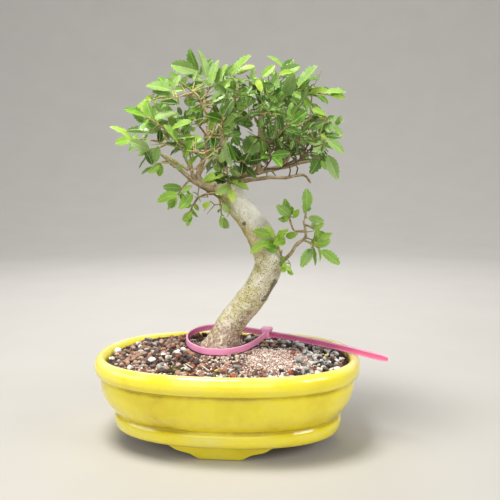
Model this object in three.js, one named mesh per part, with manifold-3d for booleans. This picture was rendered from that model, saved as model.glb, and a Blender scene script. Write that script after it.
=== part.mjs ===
// A Chinese elm bonsai in its yellow glazed oval pot, with gravel soil and a pink cable tie
// laid loosely round the foot of the trunk. Millimetres, +Z up, the table is z = 0.
// +X runs along the pot, and -Y is the front, where the single middle foot stands.

import * as THREE from 'three';
import { mergeVertices } from 'three/addons/utils/BufferGeometryUtils.js';
import Module from 'manifold-3d';

const wasm = await Module();
wasm.setup();

// Gap kept between pieces that touch.
const seat = 0.3;

// Pot: plan shape between an ellipse and a rectangle, standing on three cloud-shaped feet.
const potSquareness = 2.35;
const potStations = 36;
const footClearance = 10.5;
const footFlat = 12;
const footFlare = 29;
// Half length, half width and height of each ring, from the foot band up to the crown.
const potOutside = [
  [82, 50, 11], [85.4, 56.6, 15], [86.2, 58.6, 20.5], [84.8, 57.6, 24], [88.4, 61.4, 28],
  [92.2, 64.8, 34], [95.4, 68, 43], [95.7, 68.5, 52], [98.6, 71.8, 54.5], [100, 73.2, 59],
  [99.2, 72.4, 64], [95.8, 69, 67],
];
const potInside = [[92.4, 65.6, 65.8], [90.4, 63.6, 62], [88, 61, 48], [83, 56, 33], [73, 46, 19]];
const potUnderside = 12;
const footBottom = [80, 45.5];
const footWall = 8;
const drainRadius = 6;
const drainOffset = 38;

// Drain screens: square plastic mesh over each drain hole.
const screenSide = 26;
const screenThick = 1.2;
const screenHole = 5;
const screenPitch = 7.5;

// Soil: a low mound filling the pot, its surface in lumps of crushed stone.
const soilRings = 12;
const soilEdge = [89, 62.2, 60.6];
const soilWaist = [81.6, 54.6, 33];
const soilFloor = [71.6, 44.6, potInside[4][2] + seat];
const moundRise = 8;
const stoneRelief = 2.2;

// Trunk: centre line from the buried foot to the cut top, as x, y, z and radius.
const trunkLine = [
  [-11, 5, 46, 8.5], [-9, 5, 58, 12.5], [-6, 5, 68.5, 13], [-1.4, 5, 82, 10.8], [8.4, 4, 95.8, 10.2],
  [15.8, 3, 105.8, 10.2], [22.8, 2, 115.8, 10.4], [28.4, 1, 124.6, 10.7], [30.4, 0, 132.6, 10.5],
  [30, 0, 141, 10.2], [28, 0, 148.6, 10.4], [24.4, 1, 156.8, 10.2], [18.8, 2, 164.8, 9.9],
  [12.8, 3, 172.8, 9.6], [6.4, 4, 180.8, 9.2], [0.2, 5, 189.4, 8.7], [-4.4, 6, 196.8, 7.8],
  [-6.2, 6.4, 200.2, 5.4],
];
const trunkSides = 12;

// Branches, in the order in which they leave the trunk or each other: x, y, z, radius.
const branchLines = [
  // Low left branch and the upright leader that turns up from its knee.
  [[-2, 3, 186, 3.6], [-20, -4, 194, 2.2], [-25, -6, 197, 1.9], [-33, -8, 204, 1.5], [-40, -9, 209, 1.2],
    [-48, -12, 217, 0.9]],
  [[-12, 1, 191, 3.4], [-21, -2, 198, 2.3], [-20, -2, 206, 2], [-16, -2, 216, 1.9], [-15, -1, 225, 1.7],
    [-14, 0, 234, 1.6], [-14, 0, 243, 1.4], [-18, 0, 251, 1.2], [-22, -1, 259, 1], [-38, -4, 271, 0.7]],
  [[-16, 0, 247, 1.2], [-17, 0, 259, 0.9], [-18, 0, 269, 0.7]],
  [[-14, 0, 236, 1.4], [-11, 2, 244, 1.2], [-9, 2, 252, 0.9], [-6, 3, 260, 0.7]],
  [[-15, -1, 221, 1.4], [-32, -4, 222, 1.1], [-48, -5, 224, 0.8]],
  [[-23, -5, 195, 1.4], [-26, -10, 206, 1.2], [-30, -14, 215, 0.8]],
  // Arching branch across the front of the crown.
  [[-14, 0, 230, 1.4], [-2, -5, 236, 1.2], [10, -10, 240, 1.1], [24, -16, 243, 0.9], [36, -20, 242, 0.7]],
  // Main right branch, its riser, and the twigs that leave them.
  [[-1, 7, 194, 3.6], [8, 8, 199.5, 2.6], [26, 10, 204, 2], [41, 12, 207, 1.7], [54, 12, 210, 1.4],
    [71, 12, 214, 0.9]],
  [[22, 9, 203, 1.7], [24, 6, 216, 1.5], [24, 3, 230, 1.4], [25, 2, 244, 1.2], [32, 2, 252, 1],
    [44, 4, 258, 0.8], [56, 5, 259, 0.7]],
  [[25, 2, 238, 1.2], [38, 3, 243, 0.9], [52, 3, 242, 0.7], [60, 4, 237, 0.7]],
  [[40, 12, 206, 1.4], [48, 10, 218, 1.2], [55, 6, 229, 0.9], [66, 6, 227, 0.7]],
  // Bare low branch on the right.
  [[3, 3, 190, 2.3], [12, 2, 196, 1.8], [29, -3, 198.6, 1.4], [44, -6, 199, 1.2], [57, -8, 200.5, 0.9],
    [62, -8, 195, 0.7]],
  // Branches that fill the front and the back of the crown.
  [[-6, 2, 193, 2], [-4, -14, 208, 1.6], [-2, -26, 218, 1.2], [2, -36, 228, 0.8]],
  [[0, 2, 193, 2], [12, -12, 206, 1.5], [26, -26, 216, 1.2], [38, -36, 226, 0.7]],
  [[-17, -2, 213, 1.4], [-28, -16, 222, 1.2], [-38, -28, 230, 0.8]],
  [[-16, -2, 215, 1.6], [-24, 12, 224, 1.4], [-34, 26, 234, 1.1], [-42, 36, 242, 0.7]],
  [[-3, 6, 192, 2.2], [-4, 22, 210, 1.7], [-6, 36, 224, 1.4], [-4, 46, 238, 0.9]],
  [[10, 8, 200, 2], [22, 22, 212, 1.6], [34, 34, 224, 1.2], [44, 42, 234, 0.8]],
  [[-14, 0, 240, 1.2], [-6, 14, 250, 0.9], [0, 24, 258, 0.7]],
  // Small side branch half way up the trunk, with its own fork.
  [[30, -1, 134, 2.2], [41, -4, 136.5, 1.4], [46, -6, 141, 1.3], [52, -8, 149.6, 1.2], [58.6, -9, 156, 1],
    [58, -9, 163, 0.9], [57, -9, 167, 0.7], [59, -9, 171, 0.7]],
  [[58, -9, 160, 0.8], [50.5, -9, 160.5, 0.7], [47.6, -9, 166, 0.7]],
  // Bare twigs and pruned stubs.
  [[-48, -12, 216, 0.7], [-39, -10, 211, 0.7], [-28, -7, 204, 0.8]],
  [[-16, -1, 229, 0.9], [-12, 0, 241, 0.7], [-8, -2, 252, 0.7]],
  [[-3, 1, 186.6, 1.2], [-10, -4, 187, 0.9], [-17, -6, 186, 0.7], [-22, -8, 183, 0.7]],
  [[40, 11, 207, 0.9], [44, 4, 215, 0.7], [52, 0, 219, 0.7]],
  [[52, 12, 210, 0.9], [50, 4, 216, 0.7], [44, -2, 224, 0.7]],
];
const branchSides = 5;

// Leafy shoots: start inside a branch, tip, number of leaves, length of the tip leaf.
const shootRows = [
  // Top and left of the crown.
  [[-18, 0, 266], [-20, -4, 275], 4, 18], [[-17, 0, 258], [-10, 3, 268], 5, 17],
  [[-24, -1, 260], [-32, -7, 268], 5, 12], [[-30, -2, 265], [-44, -3, 265], 5, 16],
  [[-22, -1, 258], [-54, -10, 255], 6, 12], [[-41, -5, 223], [-58, -8, 239], 5, 15],
  [[-47, -5, 224], [-69, -4, 227], 5, 16], [[-44, -5, 223.5], [-56, -13, 215], 5, 13],
  [[-42, -9.5, 210.6], [-53, -11, 207], 3, 11], [[-26, -6, 198], [-35, -11, 187], 4, 15],
  [[-21, -7.6, 183.6], [-26, -10, 175], 4, 10], [[-6, 0, 184], [-3, -11, 172], 3, 11],
  [[1, -3, 190], [2, -16, 201], 5, 14], [[-29, -13, 213], [-33, -19, 224], 5, 14],
  [[-15, -1, 229], [-23, -16, 240], 4, 14], [[-17, -2, 213], [-24, -27, 219], 4, 13],
  [[-14, -1, 227], [-5, -22, 229], 5, 17],
  // Front and right of the crown.
  [[10, -10, 204], [16, -31, 210], 5, 17], [[-4, -11, 205], [6, -25, 205], 5, 14],
  [[-8, 2, 255], [2, 6, 273], 5, 13], [[26, 2, 246], [20, -7, 263], 4, 13],
  [[-14, 0, 243], [-2, -14, 259], 4, 15], [[29, 2, 249], [40, 1, 274], 5, 14],
  [[22, -15, 242.6], [34, -21, 254], 5, 18], [[38, 3, 255], [53, -4, 265], 5, 17],
  [[36, 2.6, 254], [46, 14, 274], 4, 14], [[53, 4.6, 259], [74, 5, 260], 5, 13],
  [[50, 4.4, 258.6], [63, -6, 250], 4, 13], [[56, 3.4, 239.6], [72, 2, 240], 5, 14],
  [[55, 6, 229], [71, -10, 229], 5, 16], [[64, 6, 227.2], [73, -2, 216], 3, 20],
  [[34, -19, 242], [44, -28, 238], 4, 13], [[24, 4, 224], [37, -21, 225], 5, 13],
  [[-10, 2, 247], [6, -8, 247], 4, 14],
  // Small side branch.
  [[42, -4.4, 137.4], [36, -19, 155], 5, 15], [[47.8, -9, 165], [46, -12, 173], 4, 12],
  [[58, -9, 169], [59, -10, 175], 3, 16], [[57.6, -9, 164.6], [67, -12, 160], 5, 10],
  [[56, -8.6, 153.6], [69, -14, 147], 5, 18], [[38, -3, 135.8], [45, -14, 134], 3, 9],
  // Fill round the front and the back.
  [[1, -33, 225], [3, -50, 239], 5, 14], [[35, -33, 223], [50, -44, 235], 4, 14],
  [[24, -24, 214], [36, -43, 212], 4, 14], [[-36, -25, 228], [-52, -38, 240], 4, 14],
  [[-40, 33, 239.6], [-56, 46, 250], 4, 15], [[-32, 23, 232], [-54, 24, 236], 5, 14],
  [[-4.4, 44, 235], [-3, 56, 252], 4, 15], [[-5.6, 33, 221], [-22, 52, 226], 5, 14],
  [[42, 40, 232], [56, 50, 244], 5, 14], [[30, 30, 220], [52, 32, 226], 5, 14],
  [[18, 17, 208], [18, 46, 226], 6, 15], [[-1, 22, 256.6], [4, 34, 270], 4, 15],
  [[-8, 10, 247.6], [-22, 24, 262], 4, 15], [[44, 4, 258], [57, 24, 262.5], 4, 14],
];
const crownCentre = new THREE.Vector3(0, 0, 226);
const crownBack = 16;
const twigRadius = 0.8;
const twigTipRadius = 0.5;
const twigSides = 3;
const bladeThick = 1.2;
const bladeWidth = 0.54;
const bladeFold = 0.3;
const bladeDroop = 0.16;
const bladeGap = 2.3;
// Saw-toothed outline of a blade: distance along the rib and half width, base and tip apart.
const bladeTeeth = [[0.2, 0.78], [0.38, 0.8], [0.52, 1], [0.68, 0.66], [0.8, 0.62]];

// Cable tie: centre line of the strap from the head, round the trunk, back through the head
// and out over the rim to the tip.
const strapWidth = 4.8;
const strapThick = 1.3;
const strapLine = [
  [26.2, 36.4, 71.8], [23.9, 29, 71], [18.8, 11, 70.6], [12, -5, 70.5], [4.6, -13, 70.5],
  [-3, -16, 70.4], [-14, -14, 70.2], [-25.5, -3.5, 70.2], [-33, 10, 70.8], [-35.4, 26, 72.2],
  [-32, 38, 73.4], [-26, 44, 74.4], [-17.6, 47.4, 75], [-3.8, 46.6, 75], [9.4, 43.2, 74.2],
  [20, 41.2, 73.2], [27.4, 39.6, 72.4], [33, 37.4, 72], [55.6, 25.6, 71.3], [77.4, 12.4, 70.5],
  [97, -2.6, 69.8], [118, -20.6, 69.2],
];
const strapSteps = 54;
const headSize = [5.6, 8.4, 7.6];
const headCentre = [27.4, 39.2, 72.3];
const headTurn = THREE.MathUtils.degToRad(-17);
const slotWall = 0.35;

const glaze = { color: 0xdccd3e, roughness: 0.2, metalness: 0 };
const gravel = { color: 0x8d7a70, roughness: 0.95, metalness: 0 };
const bark = { color: 0xb9ab8e, roughness: 0.85, metalness: 0 };
const leaf = { color: 0x6f9a3c, roughness: 0.55, metalness: 0 };
const nylon = { color: 0xd9668f, roughness: 0.4, metalness: 0 };
const meshPlastic = { color: 0x2e2e2e, roughness: 0.6, metalness: 0 };

// A repeatable run of numbers between 0 and 1.
function makeDraw(seed) {
  let state = seed;
  return () => {
    state = (state * 16807) % 2147483647;
    return state / 2147483647;
  };
}

function vector(row) {
  return new THREE.Vector3(row[0], row[1], row[2]);
}

// Geometry from shared points and triangles, turned so that its faces point out.
function meshOf(points, triangles) {
  let volume = 0;
  for (const [a, b, c] of triangles) {
    volume += points[a].dot(points[b].clone().cross(points[c]));
  }
  const faces = volume > 0 ? triangles : triangles.map(([a, b, c]) => [a, c, b]);
  const geometry = new THREE.BufferGeometry();
  const numbers = points.flatMap((point) => [point.x, point.y, point.z]);
  geometry.setAttribute('position', new THREE.Float32BufferAttribute(numbers, 3));
  geometry.setIndex(faces.flat());
  return geometry;
}

// Skin over a row of rings with equal point counts, closed at both ends.
function loft(rings) {
  const count = rings[0].length;
  const points = rings.flat();
  const triangles = [];
  for (let level = 0; level + 1 < rings.length; level += 1) {
    for (let i = 0; i < count; i += 1) {
      const a = level * count + i;
      const b = level * count + ((i + 1) % count);
      triangles.push([a, b, b + count], [a, b + count, a + count]);
    }
  }
  const lastStart = (rings.length - 1) * count;
  for (let i = 1; i + 1 < count; i += 1) {
    triangles.push([0, i + 1, i], [lastStart, lastStart + i, lastStart + i + 1]);
  }
  return meshOf(points, triangles);
}

// A manifold-3d solid of a closed geometry, and back again.
function toSolid(geometry) {
  const bare = geometry.clone();
  bare.deleteAttribute('normal');
  bare.deleteAttribute('uv');
  const merged = mergeVertices(bare, 1e-5);
  const vertProperties = new Float32Array(merged.attributes.position.array);
  const triVerts = new Uint32Array(merged.index.array);
  return new wasm.Manifold(new wasm.Mesh({ numProp: 3, vertProperties, triVerts }));
}

function toGeometry(solid) {
  const mesh = solid.getMesh();
  const geometry = new THREE.BufferGeometry();
  geometry.setAttribute('position', new THREE.BufferAttribute(mesh.vertProperties, 3));
  geometry.setIndex(new THREE.BufferAttribute(mesh.triVerts, 1));
  geometry.computeVertexNormals();
  return geometry;
}

function joined(solids) {
  return solids.reduce((sum, next) => sum.add(next));
}

// The largest of the bodies that a cut has left.
function mainBody(solid) {
  const bodies = solid.decompose();
  return bodies.reduce((best, next) => (next.volume() > best.volume() ? next : best));
}

// Stations along a smooth curve through rows of x, y, z and radius.
function stationsAlong(rows, perSpan, grow = 0) {
  const curve = new THREE.CatmullRomCurve3(rows.map(vector), false, 'centripetal');
  const steps = (rows.length - 1) * perSpan;
  const stations = [];
  for (let i = 0; i <= steps; i += 1) {
    const place = i / perSpan;
    const row = Math.min(Math.floor(place), rows.length - 2);
    const radius = THREE.MathUtils.lerp(rows[row][3], rows[row + 1][3], place - row);
    stations.push({ point: curve.getPoint(i / steps), radius: radius + grow });
  }
  const first = stations[0].point;
  const last = stations[steps].point;
  first.addScaledVector(stations[1].point.clone().sub(first).normalize(), -grow);
  last.addScaledVector(last.clone().sub(stations[steps - 1].point).normalize(), grow);
  return stations;
}

// A tube through the stations, its section carried along without twist.
function tube(stations, sides, shape = () => 1) {
  const rings = [];
  let across = null;
  stations.forEach(({ point, radius }, index) => {
    const before = stations[Math.max(index - 1, 0)].point;
    const after = stations[Math.min(index + 1, stations.length - 1)].point;
    const along = after.clone().sub(before).normalize();
    const guide = across ?? new THREE.Vector3(0.31, -0.95, 0.05);
    across = guide.clone().addScaledVector(along, -guide.dot(along)).normalize();
    const upward = along.clone().cross(across);
    const ring = [];
    for (let i = 0; i < sides; i += 1) {
      const angle = (2 * Math.PI * i) / sides;
      const reach = radius * shape(angle, point.z);
      ring.push(point.clone().addScaledVector(across, reach * Math.cos(angle))
        .addScaledVector(upward, reach * Math.sin(angle)));
    }
    rings.push(ring);
  });
  return loft(rings);
}

// Point of the pot's plan shape at an angle of its formula.
function planPoint(halfLength, halfWidth, angle, z) {
  const power = 2 / potSquareness;
  const c = Math.cos(angle);
  const s = Math.sin(angle);
  const x = halfLength * Math.sign(c) * Math.abs(c) ** power;
  const y = halfWidth * Math.sign(s) * Math.abs(s) ** power;
  return new THREE.Vector3(x, y, z);
}

// Feet: one in the middle of the front, two towards the ends of the back.
const footAngles = [-90, 27, 153].map(THREE.MathUtils.degToRad);

function footReach(angle) {
  return Math.hypot(footBottom[0] * Math.sin(angle), footBottom[1] * Math.cos(angle));
}

// Height of the foot ring's lower edge, an S-curve beside each foot.
function footEdge(angle) {
  let height = footClearance;
  for (const centre of footAngles) {
    const turn = Math.abs(Math.atan2(Math.sin(angle - centre), Math.cos(angle - centre)));
    const distance = turn * footReach(centre);
    const slope = THREE.MathUtils.smoothstep(distance, footFlat, footFlare);
    height = Math.min(height, footClearance * slope ** 0.8);
  }
  return height;
}

function potAngles() {
  const angles = [];
  for (const centre of footAngles) {
    for (const distance of [footFlat, footFlat + 4, footFlat + 9, footFlare]) {
      angles.push(centre - distance / footReach(centre), centre + distance / footReach(centre));
    }
  }
  const nearest = 2.6 / 100;
  const turn = 2 * Math.PI;
  for (let i = 0; i < potStations; i += 1) {
    const angle = (turn * i) / potStations - Math.PI;
    const crowded = angles.some((other) => Math.abs(Math.sin((other - angle) / 2)) < nearest);
    if (!crowded) {
      angles.push(angle);
    }
  }
  return angles.map((angle) => ((angle % turn) + turn) % turn).sort((a, b) => a - b);
}

function pot() {
  const angles = potAngles();
  const ring = ([halfLength, halfWidth, z]) => angles.map((angle) => planPoint(halfLength, halfWidth, angle, z));
  const [footLength, footWidth] = footBottom;
  const lean = (angle) => footEdge(angle) / potOutside[0][2];
  const outerEdge = angles.map((angle) => planPoint(
    THREE.MathUtils.lerp(footLength, potOutside[0][0], lean(angle)),
    THREE.MathUtils.lerp(footWidth, potOutside[0][1], lean(angle)),
    angle,
    footEdge(angle),
  ));
  const innerEdge = angles.map((angle) => planPoint(footLength - footWall, footWidth - footWall, angle,
    footEdge(angle)));
  const underside = ring([footLength - footWall - 2, footWidth - footWall - 2, potUnderside]);
  const rings = [underside, innerEdge, outerEdge, ...potOutside.map(ring), ...potInside.map(ring)];
  let body = toSolid(loft(rings));
  for (const side of [-1, 1]) {
    const drain = new THREE.CylinderGeometry(drainRadius, drainRadius, 20, 14);
    drain.rotateX(Math.PI / 2);
    drain.translate(side * drainOffset, 0, potUnderside + 4);
    body = body.subtract(toSolid(drain));
  }
  return toGeometry(body);
}

function drainScreen() {
  let plate = toSolid(new THREE.BoxGeometry(screenSide, screenSide, screenThick));
  for (const column of [-1, 0, 1]) {
    for (const line of [-1, 0, 1]) {
      const hole = new THREE.BoxGeometry(screenHole, screenHole, 2 * screenThick);
      hole.translate(column * screenPitch, line * screenPitch, 0);
      plate = plate.subtract(toSolid(hole));
    }
  }
  return toGeometry(plate);
}

// Centre line of the strap, as closely spaced points.
const strapCurve = new THREE.CatmullRomCurve3(strapLine.map(vector), false, 'centripetal');
const strapPoints = strapCurve.getSpacedPoints(strapSteps);

// Height of the soil without its stones: a mound that is highest round the trunk.
function moundHeight(x, y) {
  const power = potSquareness;
  const edgeShare = Math.abs(x / soilEdge[0]) ** power + Math.abs(y / soilEdge[1]) ** power;
  const rise = Math.cos((Math.PI / 2) * Math.min(edgeShare ** (1 / power), 1));
  return soilEdge[2] + moundRise * rise;
}

// The strap presses the stones under it down, so that it lies on them.
function underStrap(x, y, height) {
  let limit = height;
  for (const point of strapPoints) {
    if (Math.hypot(point.x - x, point.y - y) < 7) {
      limit = Math.min(limit, point.z - strapWidth / 2 - seat);
    }
  }
  return limit;
}

// The six steps from a point of a hexagonal net to its neighbours.
const netSteps = [[1, 0], [0, 1], [-1, 1], [-1, 0], [0, -1], [1, -1]];

function soil(trunkHole, screenHoles) {
  const draw = makeDraw(90210);
  const points = [new THREE.Vector3(0, 0, moundHeight(0, 0) + stoneRelief / 2)];
  const ringStart = [0];
  for (let ring = 1; ring <= soilRings; ring += 1) {
    ringStart.push(points.length);
    const scale = ring / soilRings;
    for (let i = 0; i < 6 * ring; i += 1) {
      const sector = Math.floor(i / ring);
      const step = i % ring;
      const angle = (2 * Math.PI * i) / (6 * ring);
      const place = planPoint(soilEdge[0] * scale, soilEdge[1] * scale, angle, 0);
      const [cornerRow, cornerColumn] = netSteps[sector];
      const [stepRow, stepColumn] = netSteps[(sector + 2) % 6];
      const row = ring * cornerRow + step * stepRow;
      const column = ring * cornerColumn + step * stepColumn;
      // Every third point of the hexagonal net is the top of a stone.
      const isTop = (row - column) % 3 === 0;
      const edge = ring === soilRings;
      const jitter = edge ? 0 : 1.6;
      const x = place.x + jitter * (draw() - 0.5);
      const y = place.y + jitter * (draw() - 0.5);
      const lift = (isTop ? 0.55 : -0.35) * stoneRelief * (0.6 + 0.8 * draw());
      const height = moundHeight(x, y) + (edge ? 0 : lift);
      points.push(new THREE.Vector3(x, y, underStrap(x, y, height)));
    }
  }
  const triangles = [];
  for (let ring = 1; ring <= soilRings; ring += 1) {
    const outer = (sector, step) => ringStart[ring] + ((sector * ring + step) % (6 * ring));
    const inner = (sector, step) => (ring === 1 ? 0
      : ringStart[ring - 1] + ((sector * (ring - 1) + step) % (6 * (ring - 1))));
    for (let sector = 0; sector < 6; sector += 1) {
      for (let step = 0; step < ring; step += 1) {
        triangles.push([outer(sector, step), outer(sector, step + 1), inner(sector, step)]);
        if (step + 1 < ring) {
          triangles.push([inner(sector, step), outer(sector, step + 1), inner(sector, step + 1)]);
        }
      }
    }
  }
  const count = 6 * soilRings;
  let upper = ringStart[soilRings];
  for (const [halfLength, halfWidth, z] of [soilWaist, soilFloor]) {
    const lower = points.length;
    for (let i = 0; i < count; i += 1) {
      points.push(planPoint(halfLength, halfWidth, (2 * Math.PI * i) / count, z));
      const next = (i + 1) % count;
      triangles.push([upper + i, lower + i, lower + next], [upper + i, lower + next, upper + next]);
    }
    upper = lower;
  }
  for (let i = 1; i + 1 < count; i += 1) {
    triangles.push([upper, upper + i + 1, upper + i]);
  }
  let body = toSolid(meshOf(points, triangles)).subtract(trunkHole);
  for (const hole of screenHoles) {
    body = body.subtract(hole);
  }
  return toGeometry(mainBody(body));
}

// Root lobes at the foot of the trunk, which fade out above the soil, and a bumpy bark.
function barkShape(angle, z) {
  const low = 1 - THREE.MathUtils.smoothstep(z, 66, 84);
  const lobes = 0.1 * low * Math.cos(4 * angle + 0.6);
  const bumps = 0.025 * Math.sin(3 * angle + z * 0.21) + 0.02 * Math.sin(2 * angle - z * 0.13);
  return 1 + lobes + bumps;
}

function woodSolid(grow) {
  const trunk = toSolid(tube(stationsAlong(trunkLine, 1, grow), trunkSides, barkShape));
  const branches = branchLines.map((rows) => toSolid(tube(stationsAlong(rows, 1, grow), branchSides)));
  return joined([trunk, ...branches]);
}

// Places already taken by leaves and twigs, kept in cubes for a quick search.
const cubeSize = 3;
const takenPlaces = new Map();

function cubeKey(x, y, z) {
  return `${x},${y},${z}`;
}

function cubeOf(point) {
  return [point.x, point.y, point.z].map((value) => Math.floor(value / cubeSize));
}

function takePlaces(points, twigOf) {
  for (const point of points) {
    const key = cubeKey(...cubeOf(point));
    if (!takenPlaces.has(key)) {
      takenPlaces.set(key, []);
    }
    takenPlaces.get(key).push({ point, twigOf });
  }
}

// A blade keeps clear of everything but the twig that it grows from.
function placesClear(points, distance, ownTwig) {
  for (const point of points) {
    const [cx, cy, cz] = cubeOf(point);
    for (let x = cx - 1; x <= cx + 1; x += 1) {
      for (let y = cy - 1; y <= cy + 1; y += 1) {
        for (let z = cz - 1; z <= cz + 1; z += 1) {
          const near = takenPlaces.get(cubeKey(x, y, z)) ?? [];
          if (near.some((other) => other.twigOf !== ownTwig && other.point.distanceTo(point) < distance)) {
            return false;
          }
        }
      }
    }
  }
  return true;
}

// Points spread over a blade, apart from its base, for the test of what it would cross.
function bladeSamples(blade) {
  const samples = [];
  for (let i = 1; i <= 7; i += 1) {
    const along = 0.16 + (0.84 * i) / 7;
    const half = 0.5 * bladeWidth * blade.length * Math.sin(Math.PI * Math.min(along, 0.95));
    for (const share of [-1, -0.33, 0.33, 1]) {
      samples.push(bladePoint(blade, along, half * share, 0));
    }
  }
  return samples;
}

// Point of a blade: folded up from its rib and drooping towards its tip.
function bladePoint(blade, along, offset, lift) {
  const rise = bladeFold * Math.abs(offset) - bladeDroop * blade.length * along * along + lift;
  return blade.base.clone().addScaledVector(blade.along, along * blade.length)
    .addScaledVector(blade.across, offset).addScaledVector(blade.normal, rise);
}

// One blade: a saw-toothed outline with a raised rib above and below.
function bladeSolid(blade) {
  const half = 0.5 * bladeWidth * blade.length;
  const outline = [bladePoint(blade, 0, 0, 0)];
  bladeTeeth.forEach(([along, share]) => outline.push(bladePoint(blade, along, half * share, 0)));
  outline.push(bladePoint(blade, 1, 0, 0));
  [...bladeTeeth].reverse().forEach(([along, share]) => {
    outline.push(bladePoint(blade, along, -half * share, 0));
  });
  const count = outline.length;
  const upper = bladePoint(blade, 0.42, 0, bladeThick / 2);
  const lower = bladePoint(blade, 0.42, 0, -bladeThick / 2);
  const triangles = [];
  for (let i = 0; i < count; i += 1) {
    const next = (i + 1) % count;
    triangles.push([i, next, count], [next, i, count + 1]);
  }
  return toSolid(meshOf([...outline, upper, lower], triangles));
}

// Frame of a blade from its direction and the side that it turns to the light.
function bladeAt(base, direction, facing, length) {
  const along = direction.clone().normalize();
  const normal = facing.clone().addScaledVector(along, -facing.dot(along)).normalize();
  const across = normal.clone().cross(along);
  return { base, along, normal, across, length };
}

// Distance from the wood below which no blade may come.
const woodPoints = [trunkLine, ...branchLines].flatMap((rows) => {
  const curve = new THREE.CatmullRomCurve3(rows.map(vector), false, 'centripetal');
  const count = Math.ceil(curve.getLength() / 2.5);
  const points = [];
  for (let i = 0; i <= count; i += 1) {
    const place = (i / count) * (rows.length - 1);
    const row = Math.min(Math.floor(place), rows.length - 2);
    const radius = THREE.MathUtils.lerp(rows[row][3], rows[row + 1][3], place - row);
    points.push({ point: curve.getPoint(i / count), radius });
  }
  return points;
});

function clearOfWood(points) {
  return points.every((place) => woodPoints.every(({ point, radius }) => (
    point.distanceTo(place) > radius + 1.4)));
}

// The blades of one shoot: alternate along the twig, and one at its tip.
function placeBlades(twig, count, tipLength, draw, ownTwig) {
  const middle = twig.getPoint(0.6);
  const outward = middle.clone().sub(crownCentre).normalize();
  // Blades lean out to the nearer long side of the crown, where the light comes from.
  const lightSide = middle.y < crownBack ? -1 : 1;
  const blades = [];
  for (let i = count - 1; i >= 0; i -= 1) {
    const isTip = i === count - 1;
    const place = isTip ? 1 : 0.34 + (0.6 * (i + 0.5)) / (count - 1);
    const base = twig.getPoint(isTip ? 0.97 : place);
    const heading = twig.getTangent(place);
    const share = isTip ? 1 : 0.84 + 0.2 * draw();
    for (let attempt = 0; attempt < 14; attempt += 1) {
      const facing = new THREE.Vector3(draw() - 0.5, draw() - 0.5 + 0.62 * lightSide, draw() - 0.1);
      facing.addScaledVector(outward, 0.45).normalize();
      const side = facing.clone().cross(heading).normalize();
      const spread = THREE.MathUtils.degToRad(isTip ? 24 * (draw() - 0.5) : 42 + 22 * draw());
      const turn = i % 2 === 0 ? 1 : -1;
      const direction = heading.clone().multiplyScalar(Math.cos(spread))
        .addScaledVector(side, turn * Math.sin(spread));
      direction.addScaledVector(facing, 0.3 * (draw() - 0.4));
      const shrink = 1 - 0.03 * attempt;
      const blade = bladeAt(base, direction, facing, tipLength * share * shrink);
      const samples = bladeSamples(blade);
      if (placesClear(samples, bladeGap, ownTwig) && clearOfWood(samples)) {
        takePlaces(samples, null);
        blades.push(blade);
        break;
      }
    }
  }
  return blades;
}

// The twig of each shoot, bowed up a little between its ends.
const twigs = shootRows.map(([start, tip]) => {
  const bend = vector(start).lerp(vector(tip), 0.5);
  bend.z += 0.12 * vector(start).distanceTo(vector(tip));
  return new THREE.QuadraticBezierCurve3(vector(start), bend, vector(tip));
});
twigs.forEach((twig, index) => {
  const count = Math.ceil(twig.getLength() / 2);
  const places = Array.from({ length: count }, (_, i) => twig.getPoint((i + 1) / count));
  takePlaces(places, index);
});

// A leafy shoot: its twig and blades fused, seated on the branch that it grows from.
function shootSolid([, , count, tipLength], index, woodWithGap) {
  const draw = makeDraw(4001 + 977 * index);
  const twig = twigs[index];
  const stations = [0, 0.34, 0.67, 1].map((place) => ({
    point: twig.getPoint(place),
    radius: THREE.MathUtils.lerp(twigRadius, twigTipRadius, place),
  }));
  const blades = placeBlades(twig, count, tipLength, draw, index);
  const solids = [toSolid(tube(stations, twigSides)), ...blades.map(bladeSolid)];
  return mainBody(joined(solids).subtract(woodWithGap));
}

// The strap stands on edge: a flat section whose width is upright.
function cableTie() {
  const rings = strapPoints.map((point, index) => {
    const before = strapPoints[Math.max(index - 1, 0)];
    const after = strapPoints[Math.min(index + 1, strapSteps)];
    const out = new THREE.Vector3(after.y - before.y, before.x - after.x, 0).normalize();
    const taper = index === strapSteps ? 0.45 : 1;
    return [[-1, -1], [1, -1], [1, 1], [-1, 1]].map(([u, v]) => point.clone()
      .addScaledVector(out, (u * strapThick) / 2)
      .add(new THREE.Vector3(0, 0, (taper * v * strapWidth) / 2)));
  });
  const strap = toSolid(loft(rings));
  const place = (geometry) => {
    geometry.rotateZ(headTurn);
    geometry.translate(...headCentre);
    return toSolid(geometry);
  };
  const [thick, deep, tall] = headSize;
  const slot = place(new THREE.BoxGeometry(thick * 2, strapThick + 2 * slotWall, strapWidth + 2 * slotWall));
  const head = place(new THREE.BoxGeometry(thick, deep, tall)).subtract(slot);
  return toGeometry(strap.add(head));
}

const bonsai = new THREE.Group();

function addPiece(name, geometry, finish, place = [0, 0, 0]) {
  const mesh = new THREE.Mesh(geometry, new THREE.MeshStandardMaterial(finish));
  mesh.name = name;
  mesh.position.set(...place);
  bonsai.add(mesh);
}

const wood = woodSolid(0);
const woodWithGap = woodSolid(seat);
const screenLevel = potInside[4][2] + seat + screenThick / 2;
const screenPlaces = [-1, 1].map((side) => [side * drainOffset, 0, screenLevel]);
const screenHoles = screenPlaces.map(([x, y, z]) => {
  const room = new THREE.BoxGeometry(screenSide + 2 * seat, screenSide + 2 * seat, screenThick + 4 * seat);
  room.translate(x, y, z - seat);
  return toSolid(room);
});

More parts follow.
